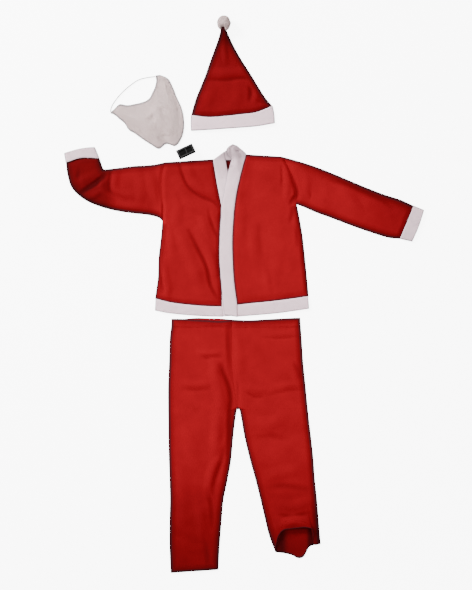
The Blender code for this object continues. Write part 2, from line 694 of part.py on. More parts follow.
def make_belt(plastic, buckle_plastic):
    """The belt rolled up on its edge as one solid, layered at its ends, and its buckle on top."""
    turn = np.linspace(0.0, 2.0 * math.pi, ROLL_SIDES, endpoint=False)
    spiral = 1.0 - ROLL_STEP * turn / (2.0 * math.pi)
    lip_angle = math.radians(118)
    across = ROLL_ACROSS / 2 * spiral * np.cos(turn + lip_angle)
    up = ROLL_HEIGHT / 2 * spiral * np.sin(turn + lip_angle)
    ends = [(0.06, 5.0), (0.16, 0.0), (0.36, 0.0), (0.40, 2.0), (0.46, 2.0), (0.50, 0.0),
            (0.70, 0.0), (0.74, 1.6), (0.80, 1.6), (0.84, 0.0), (0.97, 0.0), (1.0, 0.8)]
    half = BELT_WIDTH / 2
    rings = [(scale, half - depth) for scale, depth in ends]
    rings += [(scale, depth - half) for scale, depth in reversed(ends)]
    points = []
    for scale, along in rings:
        for side, height in zip(across * scale, up * scale):
            lifted = height - min(up)
            x = BELT_CENTRE[0] + along * math.cos(BELT_ANGLE) - side * math.sin(BELT_ANGLE)
            y = BELT_CENTRE[1] + along * math.sin(BELT_ANGLE) + side * math.cos(BELT_ANGLE)
            points.append((x * MM, y * MM, lifted * MM))
    faces = [tuple(range(ROLL_SIDES)), tuple(range(len(points) - ROLL_SIDES, len(points)))]
    for ring in range(len(rings) - 1):
        for side in range(ROLL_SIDES):
            beside = (side + 1) % ROLL_SIDES
            a = ring * ROLL_SIDES
            b = a + ROLL_SIDES
            faces.append((a + side, a + beside, b + beside, b + side))
    mesh_object("belt_roll", points, faces, plastic)
    make_buckle(buckle_plastic, max(point[2] for point in points) / MM + SEAM_GAP)


def make_buckle(buckle_plastic, height):
    """A flat frame with a bar across its middle."""
    half_length = BUCKLE_LENGTH / 2
    half_width = BUCKLE_WIDTH / 2
    half_bar = BUCKLE_BAR / 2
    inner_length = half_length - BUCKLE_RIM
    xs = [-half_length, -inner_length, -half_bar, half_bar, inner_length, half_length]
    ys = [-half_width, BUCKLE_RIM - half_width, half_width - BUCKLE_RIM, half_width]
    points = [(x * MM, y * MM, 0.0) for y in ys for x in xs]
    windows = {(1, 1), (3, 1)}
    faces = []
    for column in range(len(xs) - 1):
        for row in range(len(ys) - 1):
            if (column, row) not in windows:
                a = row * len(xs) + column
                faces.append((a, a + 1, a + 1 + len(xs), a + len(xs)))
    buckle = mesh_object("belt_buckle", points, faces, buckle_plastic)
    thicken = buckle.modifiers.new("thickness", "SOLIDIFY")
    thicken.thickness = BUCKLE_THICKNESS * MM
    thicken.offset = 1.0
    soften = buckle.modifiers.new("rounded edges", "BEVEL")
    soften.width = 0.8 * MM
    soften.segments = 2
    buckle.location = (BELT_CENTRE[0] * MM, BELT_CENTRE[1] * MM, height * MM)
    buckle.rotation_euler = (0.0, 0.0, BELT_ANGLE)


def centre_on_origin():
    """Move every object so that the suit's box is centred on the Z axis."""
    bpy.context.view_layer.update()
    corners = np.array([
        tuple(found.matrix_world @ Vector(corner))
        for found in bpy.context.scene.objects for corner in found.bound_box
    ])
    middle = (corners.min(axis=0) + corners.max(axis=0)) / 2.0
    for found in bpy.context.scene.objects:
        found.location.x -= middle[0]
        found.location.y -= middle[1]


def main():
    """Build the suit."""
    remove_everything()
    red = make_material("red_cloth", 176, 28, 28, 0.85)
    white = make_material("white_plush", 216, 208, 214, 0.9)
    plush = make_material("beard_plush", 214, 206, 204, 0.92)
    elastic = make_material("white_elastic", 225, 222, 220, 0.7)
    plastic = make_material("black_belt_plastic", 18, 17, 18, 0.35)
    buckle_plastic = make_material("black_buckle_plastic", 24, 23, 25, 0.3)
    make_jacket(red, white)
    make_trousers(red)
    make_hat(red, white)
    make_beard(plush, elastic)
    make_belt(plastic, buckle_plastic)
    centre_on_origin()


main()
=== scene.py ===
# %% [markdown]
# # A child's Santa suit laid out flat
#
# The suit is a set: a jacket with plush trim, trousers, a pointed hat with a pompom, a fleece
# beard on elastic and a rolled belt. Everything lies on a pale floor and is seen from straight
# above. This lesson builds the cloth as thin walls worked out with numpy, then adds pile, stitches
# and materials. The model's frame comes first, because every piece must lie where its solid lies.

# %% Load the frame
import math

import bpy
import numpy as np
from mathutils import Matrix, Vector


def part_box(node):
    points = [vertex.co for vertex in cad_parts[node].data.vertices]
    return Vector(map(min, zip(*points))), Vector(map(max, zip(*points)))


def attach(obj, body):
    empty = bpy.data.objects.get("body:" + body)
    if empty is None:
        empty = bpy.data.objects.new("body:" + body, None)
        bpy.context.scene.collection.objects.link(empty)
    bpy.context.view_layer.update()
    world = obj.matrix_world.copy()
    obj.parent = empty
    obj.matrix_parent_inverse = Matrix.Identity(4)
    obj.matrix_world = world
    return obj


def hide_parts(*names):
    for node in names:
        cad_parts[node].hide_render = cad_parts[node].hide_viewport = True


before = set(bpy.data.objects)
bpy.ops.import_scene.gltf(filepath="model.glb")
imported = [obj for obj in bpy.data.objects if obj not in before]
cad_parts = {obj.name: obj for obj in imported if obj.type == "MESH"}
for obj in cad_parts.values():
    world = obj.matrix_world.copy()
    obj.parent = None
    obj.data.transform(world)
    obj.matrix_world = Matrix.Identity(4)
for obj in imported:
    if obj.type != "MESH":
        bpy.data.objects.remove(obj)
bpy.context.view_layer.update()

MM = 0.001
print("solids in the frame:", len(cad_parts))

# %% [markdown]
# ## The camera and the light
#
# A flat lay is looked at from straight above. A long lens keeps the sleeves and hems free of
# perspective. The light is a broad overhead glow, so that the white floor stays white, with one
# large lamp low at the wearer's right shoulder. Its shallow angle draws every crease, and it
# stands well back, so that the near sleeve is hardly brighter than the far one.

# %% Camera
CAMERA_HEIGHT = 4.0
FRAME_LENGTH = 1.829          # metres of floor along the long side of the view
VIEW_CENTRE = (-0.0262, -0.0026)
SENSOR = 36.0

camera_data = bpy.data.cameras.new("overhead_camera")
camera_data.sensor_width = SENSOR
camera_data.lens = SENSOR * CAMERA_HEIGHT / FRAME_LENGTH
camera = bpy.data.objects.new("overhead_camera", camera_data)
camera.location = (*VIEW_CENTRE, CAMERA_HEIGHT)
bpy.context.collection.objects.link(camera)
bpy.context.scene.camera = camera
print("lens", round(camera_data.lens, 1), "mm")

# %% Lamps and surroundings
STUDIO_GLOW = 0.91            # strength of the white surroundings


def add_lamp(name, place, target, size, power):
    """A square area lamp at place, turned to face target."""
    data = bpy.data.lights.new(name, "AREA")
    data.size = size
    data.energy = power
    lamp = bpy.data.objects.new(name, data)
    away = np.array(place) - np.array(target)
    lamp.location = place
    lamp.rotation_euler = (0.0, math.atan2(math.hypot(away[0], away[1]), away[2]),
                           math.atan2(away[1], away[0]))
    bpy.context.collection.objects.link(lamp)


add_lamp("crease_lamp", (-3.3, 2.85, 2.25), target=(0.0, 0.1, 0.0), size=1.3, power=560.0)
add_lamp("overhead_glow", (0.4, 0.2, 3.6), target=(0.0, 0.0, 0.0), size=3.0, power=52.0)

world = bpy.data.worlds.new("studio")
world.use_nodes = True
surroundings = world.node_tree.nodes["Background"]
surroundings.inputs["Color"].default_value = (1.0, 1.0, 1.0, 1.0)
surroundings.inputs["Strength"].default_value = STUDIO_GLOW
bpy.context.scene.world = world
print("lamps:", [lamp.name for lamp in bpy.data.lights])

# %% [markdown]
# ## Colours and material nodes
#
# Colours are written as sRGB hex, which is how a picture or a paint chart gives them, and Blender
# wants linear values. One function converts them. One more adds a node with its settings and its
# links, so that a material reads as a short list.

# %% Colour and node helpers


def linear(hex_colour):
    """Turn #RRGGBB into linear RGBA: a level over 0.04 is ((level + 0.055) / 1.055) to the 2.4."""
    levels = [int(hex_colour[place:place + 2], 16) / 255.0 for place in (1, 3, 5)]
    return tuple(v / 12.92 if v <= 0.04045 else ((v + 0.055) / 1.055) ** 2.4 for v in levels) + (1.0,)


def add_node(tree, kind, settings=None, links=None, **values):
    """Add one node: settings are its properties, values its sockets and links what feeds them.

    A socket without a name of its own is linked by its number.
    """
    node = tree.nodes.new(kind)
    for name, value in (settings or {}).items():
        setattr(node, name, value)
    for name, value in values.items():
        node.inputs[name.replace("_", " ")].default_value = value
    for name, source in (links or {}).items():
        tree.links.new(source, node.inputs[name])
    return node


def start_material(name, roughness, **shader_values):
    """Make a material and return its node tree and its Principled shader."""
    material = bpy.data.materials.new(name)
    material.use_nodes = True
    shader = material.node_tree.nodes["Principled BSDF"]
    shader.inputs["Roughness"].default_value = roughness
    for key, value in shader_values.items():
        shader.inputs[key.replace("_", " ")].default_value = value
    return material, material.node_tree, shader


# %% [markdown]
# ## Red cloth
#
# The suit is sewn from thin brushed polyester, the cheap felt-like cloth of party costumes. Fibres
# are teased up from the knit, so it has no weave to see, hardly any gloss and a soft nap. The nap
# is a fine bump. Broad cloudy patches stand for cloth that was folded in a bag. Each wall carries
# two values at its points. The first is edge, which counts millimetres up to EDGE_REACH at an edge
# that is turned under. The material turns it into a line of painted shade of an exact width,
# whatever the spacing of the points, for the edge that rolls down away from the light. The second
# is tone, which paints shade over a whole stretch: a fold, the cloth that turns down towards an
# edge, or a part that the lamp lights less.

# %% Brushed polyester
NAP = 1.6             # millimetres between tufts, coarser than the real 0.3 so that it shows
CLOUD = 55.0          # millimetres across a cloudy patch
EDGE_REACH = 12.0     # millimetres from an edge at which its value starts to count
CLOTH_SHINE = 0.04    # specular and sheen level of dead matt fibres


def cloth_material(name, colour, edge_shade_colour, roughness, nap, nap_depth, cloud_dark, line=(2.4, 5.4)):
    """Cloth whose colour drifts in clouds, falls to edge_shade_colour along its edges and is darkened
    by the tone: both are painted shade.

    line gives the distances from the edge where the painted shade line begins to fade and where it ends.
    """
    material, tree, shader = start_material(name, roughness, Specular_IOR_Level=CLOTH_SHINE,
                                            Sheen_Weight=CLOTH_SHINE, Sheen_Roughness=0.5,
                                            Sheen_Tint=linear(colour))
    place = add_node(tree, "ShaderNodeTexCoord").outputs["Object"]
    clouds = add_node(tree, "ShaderNodeTexNoise", links={"Vector": place},
                      Scale=1.0 / (CLOUD * MM), Detail=3.0)
    edge = add_node(tree, "ShaderNodeAttribute", {"attribute_name": "edge"})
    tone = add_node(tree, "ShaderNodeAttribute", {"attribute_name": "tone"})
    shade = add_node(tree, "ShaderNodeMapRange", links={"Value": clouds.outputs["Fac"]},
                     From_Min=0.3, From_Max=0.7, To_Min=1.0 - cloud_dark, To_Max=1.0)
    near = add_node(tree, "ShaderNodeMapRange", {"interpolation_type": "SMOOTHSTEP"},
                    {"Value": edge.outputs["Fac"]},
                    From_Min=EDGE_REACH - line[1], From_Max=EDGE_REACH - line[0])
    # painted shade: near an edge the colour turns to the edge colour
    turned = add_node(tree, "ShaderNodeMix", {"data_type": "RGBA"}, {"Factor": near.outputs["Result"]},
                      A=linear(colour), B=linear(edge_shade_colour))
    both = add_node(tree, "ShaderNodeMath", {"operation": "MULTIPLY"},
                    {0: shade.outputs["Result"], 1: tone.outputs["Fac"]})
    final = add_node(tree, "ShaderNodeVectorMath", {"operation": "SCALE"},
                     {0: turned.outputs["Result"], "Scale": both.outputs["Value"]})
    tree.links.new(final.outputs["Vector"], shader.inputs["Base Color"])
    tufts = add_node(tree, "ShaderNodeTexNoise", links={"Vector": place},
                     Scale=1.0 / (nap * MM), Detail=2.0)
    bump = add_node(tree, "ShaderNodeBump", links={"Height": tufts.outputs["Fac"]}, Strength=0.5,
                    Distance=nap_depth * MM)
    tree.links.new(bump.outputs["Normal"], shader.inputs["Normal"])
    return material


# Its edge colour is painted shade for edges that roll down away from the light.
red_cloth = cloth_material("brushed_polyester_red", "#800C14", "#541920", 0.9, NAP, 0.35, 0.12, (4.2, 8.4))
print("red cloth, nap every", NAP, "mm")

# %% [markdown]
# ## White plush, beard pile, elastic and vinyl
#
# The trim is a short-pile plush and the beard a thick soft fleece, both polyester and dead matt.
# The plush has a faint pink cast and the fleece a warm one, which the pompom's yarn shares. The
# elastic is a round covered cord. The belt is thin black vinyl, and only that and its moulded
# buckle have a shine, a dull one.

# %% The other finishes
# The edge colours of the plush and the fleece are painted shade along their rounded edges, where they turn
# away from the light.
white_plush = cloth_material("short_pile_plush_white", "#EFD1D9", "#9C9199", 0.95, 1.8, 0.5, 0.06, (0.8, 3.6))
beard_pile = cloth_material("fleece_polyester_white", "#CBB5B2", "#7F787A", 0.95, 2.2, 0.4, 0.08, (3.0, 8.6))
thread = cloth_material("sewing_thread_red", "#6E0A12", "#5A0A10", 0.7, 0.6, 0.05, 0.05)
elastic_cover = cloth_material("covered_elastic_white", "#A7A2A1", "#8F8A89", 0.7, 0.8, 0.15, 0.05)

WEAR = 11.1           # millimetres across a patch of vinyl that handling has dulled


def vinyl_material(name, colour, roughness, grain, shine):
    """Smooth plastic: a fine leather-like grain in its bump, and a gloss that wear has made uneven."""
    material, tree, shader = start_material(name, roughness, Base_Color=linear(colour),
                                            Specular_IOR_Level=shine)
    place = add_node(tree, "ShaderNodeTexCoord").outputs["Object"]
    pebbles = add_node(tree, "ShaderNodeTexVoronoi", links={"Vector": place}, Scale=1.0 / (grain * MM))
    bump = add_node(tree, "ShaderNodeBump", links={"Height": pebbles.outputs["Distance"]}, Strength=0.3,
                    Distance=0.15 * MM)
    tree.links.new(bump.outputs["Normal"], shader.inputs["Normal"])
    wear = add_node(tree, "ShaderNodeTexNoise", links={"Vector": place}, Scale=1.0 / (WEAR * MM))
    gloss = add_node(tree, "ShaderNodeMapRange", links={"Value": wear.outputs["Fac"]},
                     To_Min=roughness - 0.08, To_Max=roughness + 0.14)
    tree.links.new(gloss.outputs["Result"], shader.inputs["Roughness"])
    return material


belt_vinyl = vinyl_material("embossed_black_vinyl", "#070707", 0.42, 1.4, 0.06)
buckle_plastic = vinyl_material("moulded_black_plastic", "#0B0B0C", 0.3, 0.5, 0.35)
print("finishes:", [material.name for material in bpy.data.materials])

# %% [markdown]
# ## The floor
#
# A plain white floor, wide enough to fill every view. It glows, as a light table does, so that it
# stays white and the shadows around the cloth stay faint. Its glow isn't let into the pieces: a
# real white floor would not light the sides of the cloth or mirror in the vinyl as strongly.

# %% Floor
FLOOR_HALF = 9.0
FLOOR_LEVEL = -0.0003         # just under the cloth, so that the two never share a plane
FLOOR_GLOW = 7.0              # strength that keeps it white in the shadows around the cloth
floor_mesh = bpy.data.meshes.new("pale_floor")
corners = [(x * FLOOR_HALF, y * FLOOR_HALF, FLOOR_LEVEL) for x, y in ((-1, -1), (1, -1), (1, 1), (-1, 1))]
floor_mesh.from_pydata(corners, [], [(0, 1, 2, 3)])
floor = bpy.data.objects.new("pale_floor", floor_mesh)
floor_material, _, _ = start_material("white_light_table", 0.9, Base_Color=linear("#F7F7F8"),
                                      Emission_Color=(1.0, 1.0, 1.0, 1.0), Emission_Strength=FLOOR_GLOW)
floor_mesh.materials.append(floor_material)
bpy.context.collection.objects.link(floor)
floor.visible_glossy = False
floor.visible_diffuse = False
print("floor:", 2 * FLOOR_HALF, "m wide")

# %% [markdown]
# ## How a piece of cloth is described
#
# A piece is a table of rows. Each row gives the two ends of a line across the piece, seen from
# above, in millimetres. For a flat panel they are its left and right sides. For a sleeve, leg or
# hat, which is a tube pressed flat, they are the fold and the seam. A smooth curve through the
# rows gives as many lines as the surface needs, and a grid of points is spread between the sides.
# Where two pieces meet, both read the same seam, so that their edges fit.

# %% Smooth rows


def unit(vectors):
    """Each vector divided by its length."""
    return vectors / np.maximum(np.linalg.norm(vectors, axis=-1, keepdims=True), 1e-9)


def run_of(points):
    """Distance covered from the first point to each next one: the running sum of the steps."""
    steps = np.linalg.norm(np.diff(points, axis=0), axis=-1)
    return np.concatenate([np.zeros((1, *steps.shape[1:])), np.cumsum(steps, axis=0)])


def cubic(t, start, end, leaving, arriving):
    """Point at t, from 0 to 1, on the cubic with these two ends and these slopes at them."""
    return ((2 * t ** 3 - 3 * t ** 2 + 1) * start + (t ** 3 - 2 * t ** 2 + t) * leaving
            + (3 * t ** 2 - 2 * t ** 3) * end + (t ** 3 - t ** 2) * arriving)


def smooth(points, wanted):
    """Read a smooth curve through rows of points at fractional row numbers.

    Between two rows it is the cubic that passes through both, with the slope at each row taken
    from its neighbours.
    """
    points = np.array(points, float)
    slopes = np.gradient(points, axis=0)
    row = np.clip(np.floor(wanted).astype(int), 0, len(points) - 2)
    t = (wanted - row)[..., None]
    return cubic(t, points[row], points[row + 1], slopes[row], slopes[row + 1])


print("a cubic through", [0, 1, 4], "at 1.5 is", smooth([[0], [1], [4]], np.array([1.5])).ravel())

# %% Lines and grids
ROLL = 1.9            # millimetres that a turned or folded edge stands out beyond its drawn line


def between(first, last):
    """Table of a piece: each row joins a point of its first side to its partner on the last."""
    return [(*start, *end) for start, end in zip(first, last)]


def lines_of(table, spacing):
    """Lines across a piece, about spacing millimetres apart at its longer side."""
    ends = np.array(table, float)
    length = max(run_of(ends[:, :2])[-1], run_of(ends[:, 2:])[-1])
    count = max(int(round(length / spacing)), 4) + 1
    return smooth(table, np.linspace(0.0, len(table) - 1.0, count))


def slid(table, row, x, y=0.0):
    """The table with both ends of one row moved, for instance to go under a neighbour's edge."""
    moved = np.array(table, float)
    moved[row] += (x, y, x, y)
    return moved


def grown(lines, first, last):
    """Longer lines: each first end moved outwards by first and each last end by last."""
    outward = unit(lines[:, 2:] - lines[:, :2])
    return np.concatenate([lines[:, :2] - outward * first, lines[:, 2:] + outward * last], axis=1)


def edge_bend(edge, across):
    """How far a curved edge stands off the straight line between its ends, at shares across."""
    straight = np.array([edge[0], edge[-1]], float)
    return smooth(edge, across * (len(edge) - 1)) - smooth(straight, across)


def spread(lines, across, start=None, end=None, reach=1.0):
    """Grid of plan points: each line's ends joined straight, then bent to the curved edges.

    The bend of the first edge fades along the whole piece and that of the last within reach.
    """
    grid = lines[:, None, :2] + (lines[:, None, 2:] - lines[:, None, :2]) * across[..., None]
    along = np.linspace(0.0, 1.0, len(lines))[:, None, None]
    if start is not None:
        grid = grid + edge_bend(start, across) * (1.0 - along)
    if end is not None:
        grid = grid + edge_bend(end, across) * np.clip(1.0 - (1.0 - along) / reach, 0.0, 1.0)
    return grid


square = between([(0, 0), (0, 100)], [(100, 0), (100, 100)])
print("a square of 100 mm has", len(lines_of(square, 20.0)), "lines 20 mm apart")

# %% Smooth steps and soft noise
LATTICE = (97, 89)    # cells of the random lattice before it repeats, two primes


def rise(value, start, end):
    """Climb smoothly from 0 at start to 1 at end: 3t squared less 2t cubed."""
    t = np.clip((value - start) / (end - start), 0.0, 1.0)
    return t * t * (3.0 - 2.0 * t)


def inset(share, width):
    """0 at both ends of a share from 0 to 1, and 1 further in than width, with smooth climbs."""
    return rise(share, 0.0, width) * rise(1.0 - share, 0.0, width)


def soft_noise(x, y, cell, seed):
    """Random heights from -1 to 1 on a square lattice, joined by smooth steps both ways."""
    lattice = np.random.default_rng(seed).random(LATTICE) * 2.0 - 1.0
    i, j = np.floor(x / cell).astype(int), np.floor(y / cell).astype(int)
    u, v = rise(x / cell - i, 0.0, 1.0), rise(y / cell - j, 0.0, 1.0)
    columns, rows = LATTICE
    near = lattice[i % columns, j % rows] * (1 - u) + lattice[(i + 1) % columns, j % rows] * u
    far = lattice[i % columns, (j + 1) % rows] * (1 - u) + lattice[(i + 1) % columns, (j + 1) % rows] * u
    return near * (1 - v) + far * v


print("1, 2 and 3 quarters of the way, a step has climbed", rise(np.array([0.25, 0.5, 0.75]), 0.0, 1.0))

# %% [markdown]
# ## Creases and rumple
#
# Loose cloth is never flat. A crease is a row of a table too: its height, its half width and the
# points of its route, with ridges positive and troughs negative. Under the creases lies a slow
# random undulation, the rumple. Both could be bumps in the material, but as real heights they catch
# the low lamp and show from every side. A trough also gets a darker tone, because the folds of real
# cloth are deeper than these and let in less light.

# %% Creases and rumple
ROUTE_POINTS = 17     # points that stand for a crease's smooth route
TROUGH_SHADE = 0.13   # part of its brightness that cloth loses for each millimetre of a trough
DARKEST_TROUGH = 4.0  # millimetres of depth beyond which a trough gets no darker


def crease_height(grid, creases):
    """Height of the creases: a rounded profile across each route, fading towards its ends.

    Ridges are positive and troughs negative. The nearest point of the route sets the distance.
    """
    ridges = np.zeros(grid.shape[:-1])
    troughs = np.zeros(grid.shape[:-1])
    for height, half_width, *places in creases:
        route = smooth(places, np.linspace(0.0, len(places) - 1.0, ROUTE_POINTS))
        starts, runs = route[:-1], np.diff(route, axis=0)
        offset = grid[..., None, :] - starts
        share = np.clip((offset * runs).sum(-1) / (runs ** 2).sum(-1), 0.0, 1.0)
        away = np.linalg.norm(offset - share[..., None] * runs, axis=-1)
        nearest = away.argmin(-1)
        along = (nearest + np.take_along_axis(share, nearest[..., None], -1)[..., 0]) / len(runs)
        fade = np.sqrt(np.clip(np.sin(math.pi * (0.04 + 0.92 * along)), 0.0, 1.0))
        shape = 0.5 + 0.5 * np.cos(math.pi * np.clip(away.min(-1) / half_width, 0.0, 1.0))
        if height > 0:
            ridges = np.maximum(ridges, height * fade * shape)
        else:
            troughs = np.minimum(troughs, height * fade * shape)
    return ridges + troughs


def fold_shade(grid, creases):
    """Tone of cloth in a trough, where little light gets in: 1 less TROUGH_SHADE a millimetre."""
    return 1.0 + TROUGH_SHADE * np.maximum(np.minimum(crease_height(grid, creases), 0.0), -DARKEST_TROUGH)


def rumple(grid, seed, depth=1.0):
    """Slow undulation of loose cloth: soft noise with cells of 62, 27 and 11 mm, the finest faintest."""
    x, y = grid[..., 0], grid[..., 1]
    lean = x * 0.8 + y * 0.6
    return depth * (0.9 * soft_noise(x, y, 62.0, seed) + 0.5 * soft_noise(lean, y, 27.0, seed + 1)
                    + 0.16 * soft_noise(x, y, 11.0, seed + 2))


print("a trough is shaded down to", 1.0 - TROUGH_SHADE * DARKEST_TROUGH, "of the cloth's brightness")

# %% [markdown]
# ## From a grid of points to a wall of cloth
#
# The grid is the middle of the cloth. Its normals come from the differences between neighbours,
# and the wall is the grid moved half its thickness each way. Near a cut edge the wall gets
# thinner, so that the edge looks soft. The points also carry how dark the painted shade of the edge
# is and a tone, mostly painted shade.

# %% From points to a mesh
BACK_LEFT, BACK_LOW = 275.0, 39.0     # how far left of and below the drawing's origin the back reaches

back_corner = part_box("jacket_back")[0]
SHIFT = np.array([back_corner[0] / MM + BACK_LEFT, back_corner[1] / MM + BACK_LOW, 0.0])
print("the drawing's origin lies at", SHIFT.round(2), "mm in the frame")


def add_mesh(name, points, quads, material, values=None):
    """Make an object from faces and points in drawing millimetres, with named values at the points."""
    mesh = bpy.data.meshes.new(name)
    mesh.vertices.add(len(points))
    mesh.vertices.foreach_set("co", np.ascontiguousarray((points + SHIFT) * MM, np.float32).ravel())
    sides = quads.shape[1]
    mesh.loops.add(quads.size)
    mesh.loops.foreach_set("vertex_index", np.ascontiguousarray(quads, np.int32).ravel())
    mesh.polygons.add(len(quads))
    mesh.polygons.foreach_set("loop_start", np.arange(0, quads.size, sides, dtype=np.int32))
    mesh.update(calc_edges=True)
    for key, value in (values or {}).items():
        layer = mesh.attributes.new(key, "FLOAT", "POINT")
        layer.data.foreach_set("value", np.ascontiguousarray(value, np.float32).ravel())
    mesh.validate()
    mesh.shade_smooth()
    mesh.materials.append(material)
    made = bpy.data.objects.new(name, mesh)
    bpy.context.collection.objects.link(made)
    return made


# %% Walls
CUT_EDGE = 0.35               # part of its thickness that a flat piece keeps at its edges


def normals_of(grid, ring=False):
    """Unit normals of a grid of points: the cross product of the differences along and across."""
    padded = np.concatenate([grid[:, -1:], grid, grid[:, :1]], axis=1) if ring else grid
    across = np.gradient(padded, axis=1)[:, 1:-1] if ring else np.gradient(grid, axis=1)
    return unit(np.cross(np.gradient(grid, axis=0), across))


def wall(name, middle, thickness, material, ring=False, edge=0.0, tone=1.0):
    """Give a grid of middle points (millimetres) a thickness and close it into one solid wall.

    thickness may vary from point to point. The two faces are the middle moved half of it along
    the normals, and strips close the cut edges.
    """
    rows, columns = middle.shape[:2]
    offset = normals_of(middle, ring) * np.broadcast_to(thickness, (rows, columns))[..., None] / 2.0
    points = np.concatenate([(middle + offset).reshape(-1, 3), (middle - offset).reshape(-1, 3)])
    count = rows * columns
    number = np.arange(count).reshape(rows, columns)
    beside = np.roll(number, -1, axis=1)
    a, b = (number, beside) if ring else (number[:, :-1], number[:, 1:])
    top = np.stack([a[:-1], a[1:], b[1:], b[:-1]], axis=-1).reshape(-1, 4)
    rims = [np.stack([a[0], b[0], b[0] + count, a[0] + count], axis=-1),
            np.stack([b[-1], a[-1], a[-1] + count, b[-1] + count], axis=-1)]
    if not ring:
        first, last = number[:, 0], number[:, -1]
        rims.append(np.stack([first[1:], first[:-1], first[:-1] + count, first[1:] + count], axis=-1))
        rims.append(np.stack([last[:-1], last[1:], last[1:] + count, last[:-1] + count], axis=-1))
    quads = np.concatenate([top, top[:, ::-1] + count] + rims)
    both = {"edge": np.tile(np.broadcast_to(edge, (rows, columns)).ravel(), 2),
            "tone": np.tile(np.broadcast_to(tone, (rows, columns)).ravel(), 2)}
    made = add_mesh(name, points, quads, material, both)
    print(f"{name}: {len(quads) * 2} triangles, {np.ptp(points, axis=0).round(0)} mm")
    return made


def soft_shares(count):
    """Shares from 0 to 1 with one close to each end, where the wall is tucked thin."""
    return np.concatenate([[0.0], np.linspace(0.004, 0.996, count - 1), [1.0]])


def tucked(rows, columns):
    """Part of the full thickness at each point: CUT_EDGE along the four edges and 1 elsewhere."""
    part = np.full((rows, columns), CUT_EDGE)
    part[1:-1, 1:-1] = 1.0
    return part


# %% Dark edges
WEAK_EDGE = 6.0               # millimetres by which an edge of no strength counts as further away
SHADOW_REACH = (4.0, 22.0)    # millimetres from a strong edge where its shadow starts to fade and ends
SHADOW_DEPTH = 0.48           # part of its brightness that the red cloth loses there


def away_from_edges(grid, across):
    """Distances from the first side, the last side, the first row and the last row."""
    size = np.linalg.norm(grid[:, -1] - grid[:, 0], axis=-1)[:, None]
    along = run_of(grid)
    return across * size, (1.0 - across) * size, along, along[-1] - along


def edge_nearness(grid, across, sides):
    """Edge value: EDGE_REACH millimetres on an edge and one less for each millimetre away from it.

    sides gives the strength at the first side, last side, first row and last row. A weak edge
    counts as further away, which makes its painted shade line thinner and fainter.
    """
    nearest = np.min([distance + WEAK_EDGE * (1.0 - strength)
                      for distance, strength in zip(away_from_edges(grid, across), sides)], axis=0)
    return np.clip(EDGE_REACH - nearest, 0.0, EDGE_REACH)


def edge_shadow(grid, across, sides, material):
    """Tone: red cloth turns down towards a strong edge and darkens evenly over SHADOW_REACH.

    An edge of strength 1 has the whole shadow, and one of 0.6 or less has none.
    """
    if material is not red_cloth:
        return 1.0
    full, end = SHADOW_REACH
    near = [np.clip((strength - 0.6) / 0.4, 0.0, 1.0) * np.clip((end - distance) / (end - full), 0.0, 1.0)
            for distance, strength in zip(away_from_edges(grid, across), sides)]
    return 1.0 - SHADOW_DEPTH * np.max(near, axis=0)


# %% Flat sizes, and pieces that ride with the suit


def measured(middle, ring=False):
    """Greatest width and length and the area of a grid of middle points, in metres."""
    grid = np.concatenate([middle, middle[:, :1]], axis=1) * MM if ring else middle * MM
    across, along = np.diff(grid, axis=1), np.diff(grid, axis=0)
    faces = np.cross(across[:-1] + across[1:], along[:, :-1] + along[:, 1:]) / 4.0
    width = np.linalg.norm(across, axis=-1).sum(axis=1).max()
    length = np.linalg.norm(along, axis=-1).sum(axis=0).max()
    return width, length, np.linalg.norm(faces, axis=-1).sum()


def carried(piece):
    """Let a piece ride with the suit."""
    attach(piece, "root")
    return piece


def finish_sheet(piece, node):
    """Hide the solid of a piece of cloth and let the piece ride with the suit."""
    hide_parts(node)
    carried(piece)


# %% [markdown]
# ## The jacket: back and fronts
#
# The back is one panel, flat on the floor. Its inside is all that shows of it, in the small V of
# the neck. The two fronts lie on it, and their side and shoulder edges curl down to meet its
# edges in a seam. The left front lies over the right one's band, so its edge stands higher there.
# The creases are listed routes: long folds that fall from the right shoulder to the hem,
# and fainter ones on the left. Other sheets have the same formula with other tables.

# %% Jacket tables
HEM_SEAM = [(-275, -14), (-223, -27), (-136, -36.5), (-69, -39), (-23, -33), (101, -20.5), (197.5, -7)]
BACK_TOP = [(-245, 406.5), (-97, 416), (-70, 416), (-42, 415), (-17, 419), (5, 431), (117, 424)]
RIGHT_SIDE = [(-275, -14), (-270.5, 19), (-266, 54), (-264, 113), (-257, 173), (-253, 226),
              (-252, 273), (-256, 317), (-256, 360), (-245, 406.5)]
LEFT_SIDE = [(197.5, -7), (193, 44), (186, 115), (178, 185.5), (166, 252.5), (161, 281),
             (163, 314), (153, 354), (135, 394), (117, 424)]
UNDERARM = 5                  # the point of each side where the armhole starts
RIGHT_EDGE = [(-69, -39), (-69.5, 13), (-74, 59), (-77, 115), (-76.5, 168), (-74, 221),
              (-70, 261), (-76.5, 301), (-85.5, 347.5), (-97, 416)]
LEFT_EDGE = [(-23, -33), (-32, 35.5), (-36.5, 106), (-37.5, 174), (-34, 236), (-31, 270),
             (-24.5, 314), (-14.5, 359.5), (-4, 399.5), (5, 431)]
RIGHT_UNDERARM, LEFT_UNDERARM = RIGHT_SIDE[UNDERARM][1], LEFT_SIDE[UNDERARM][1]
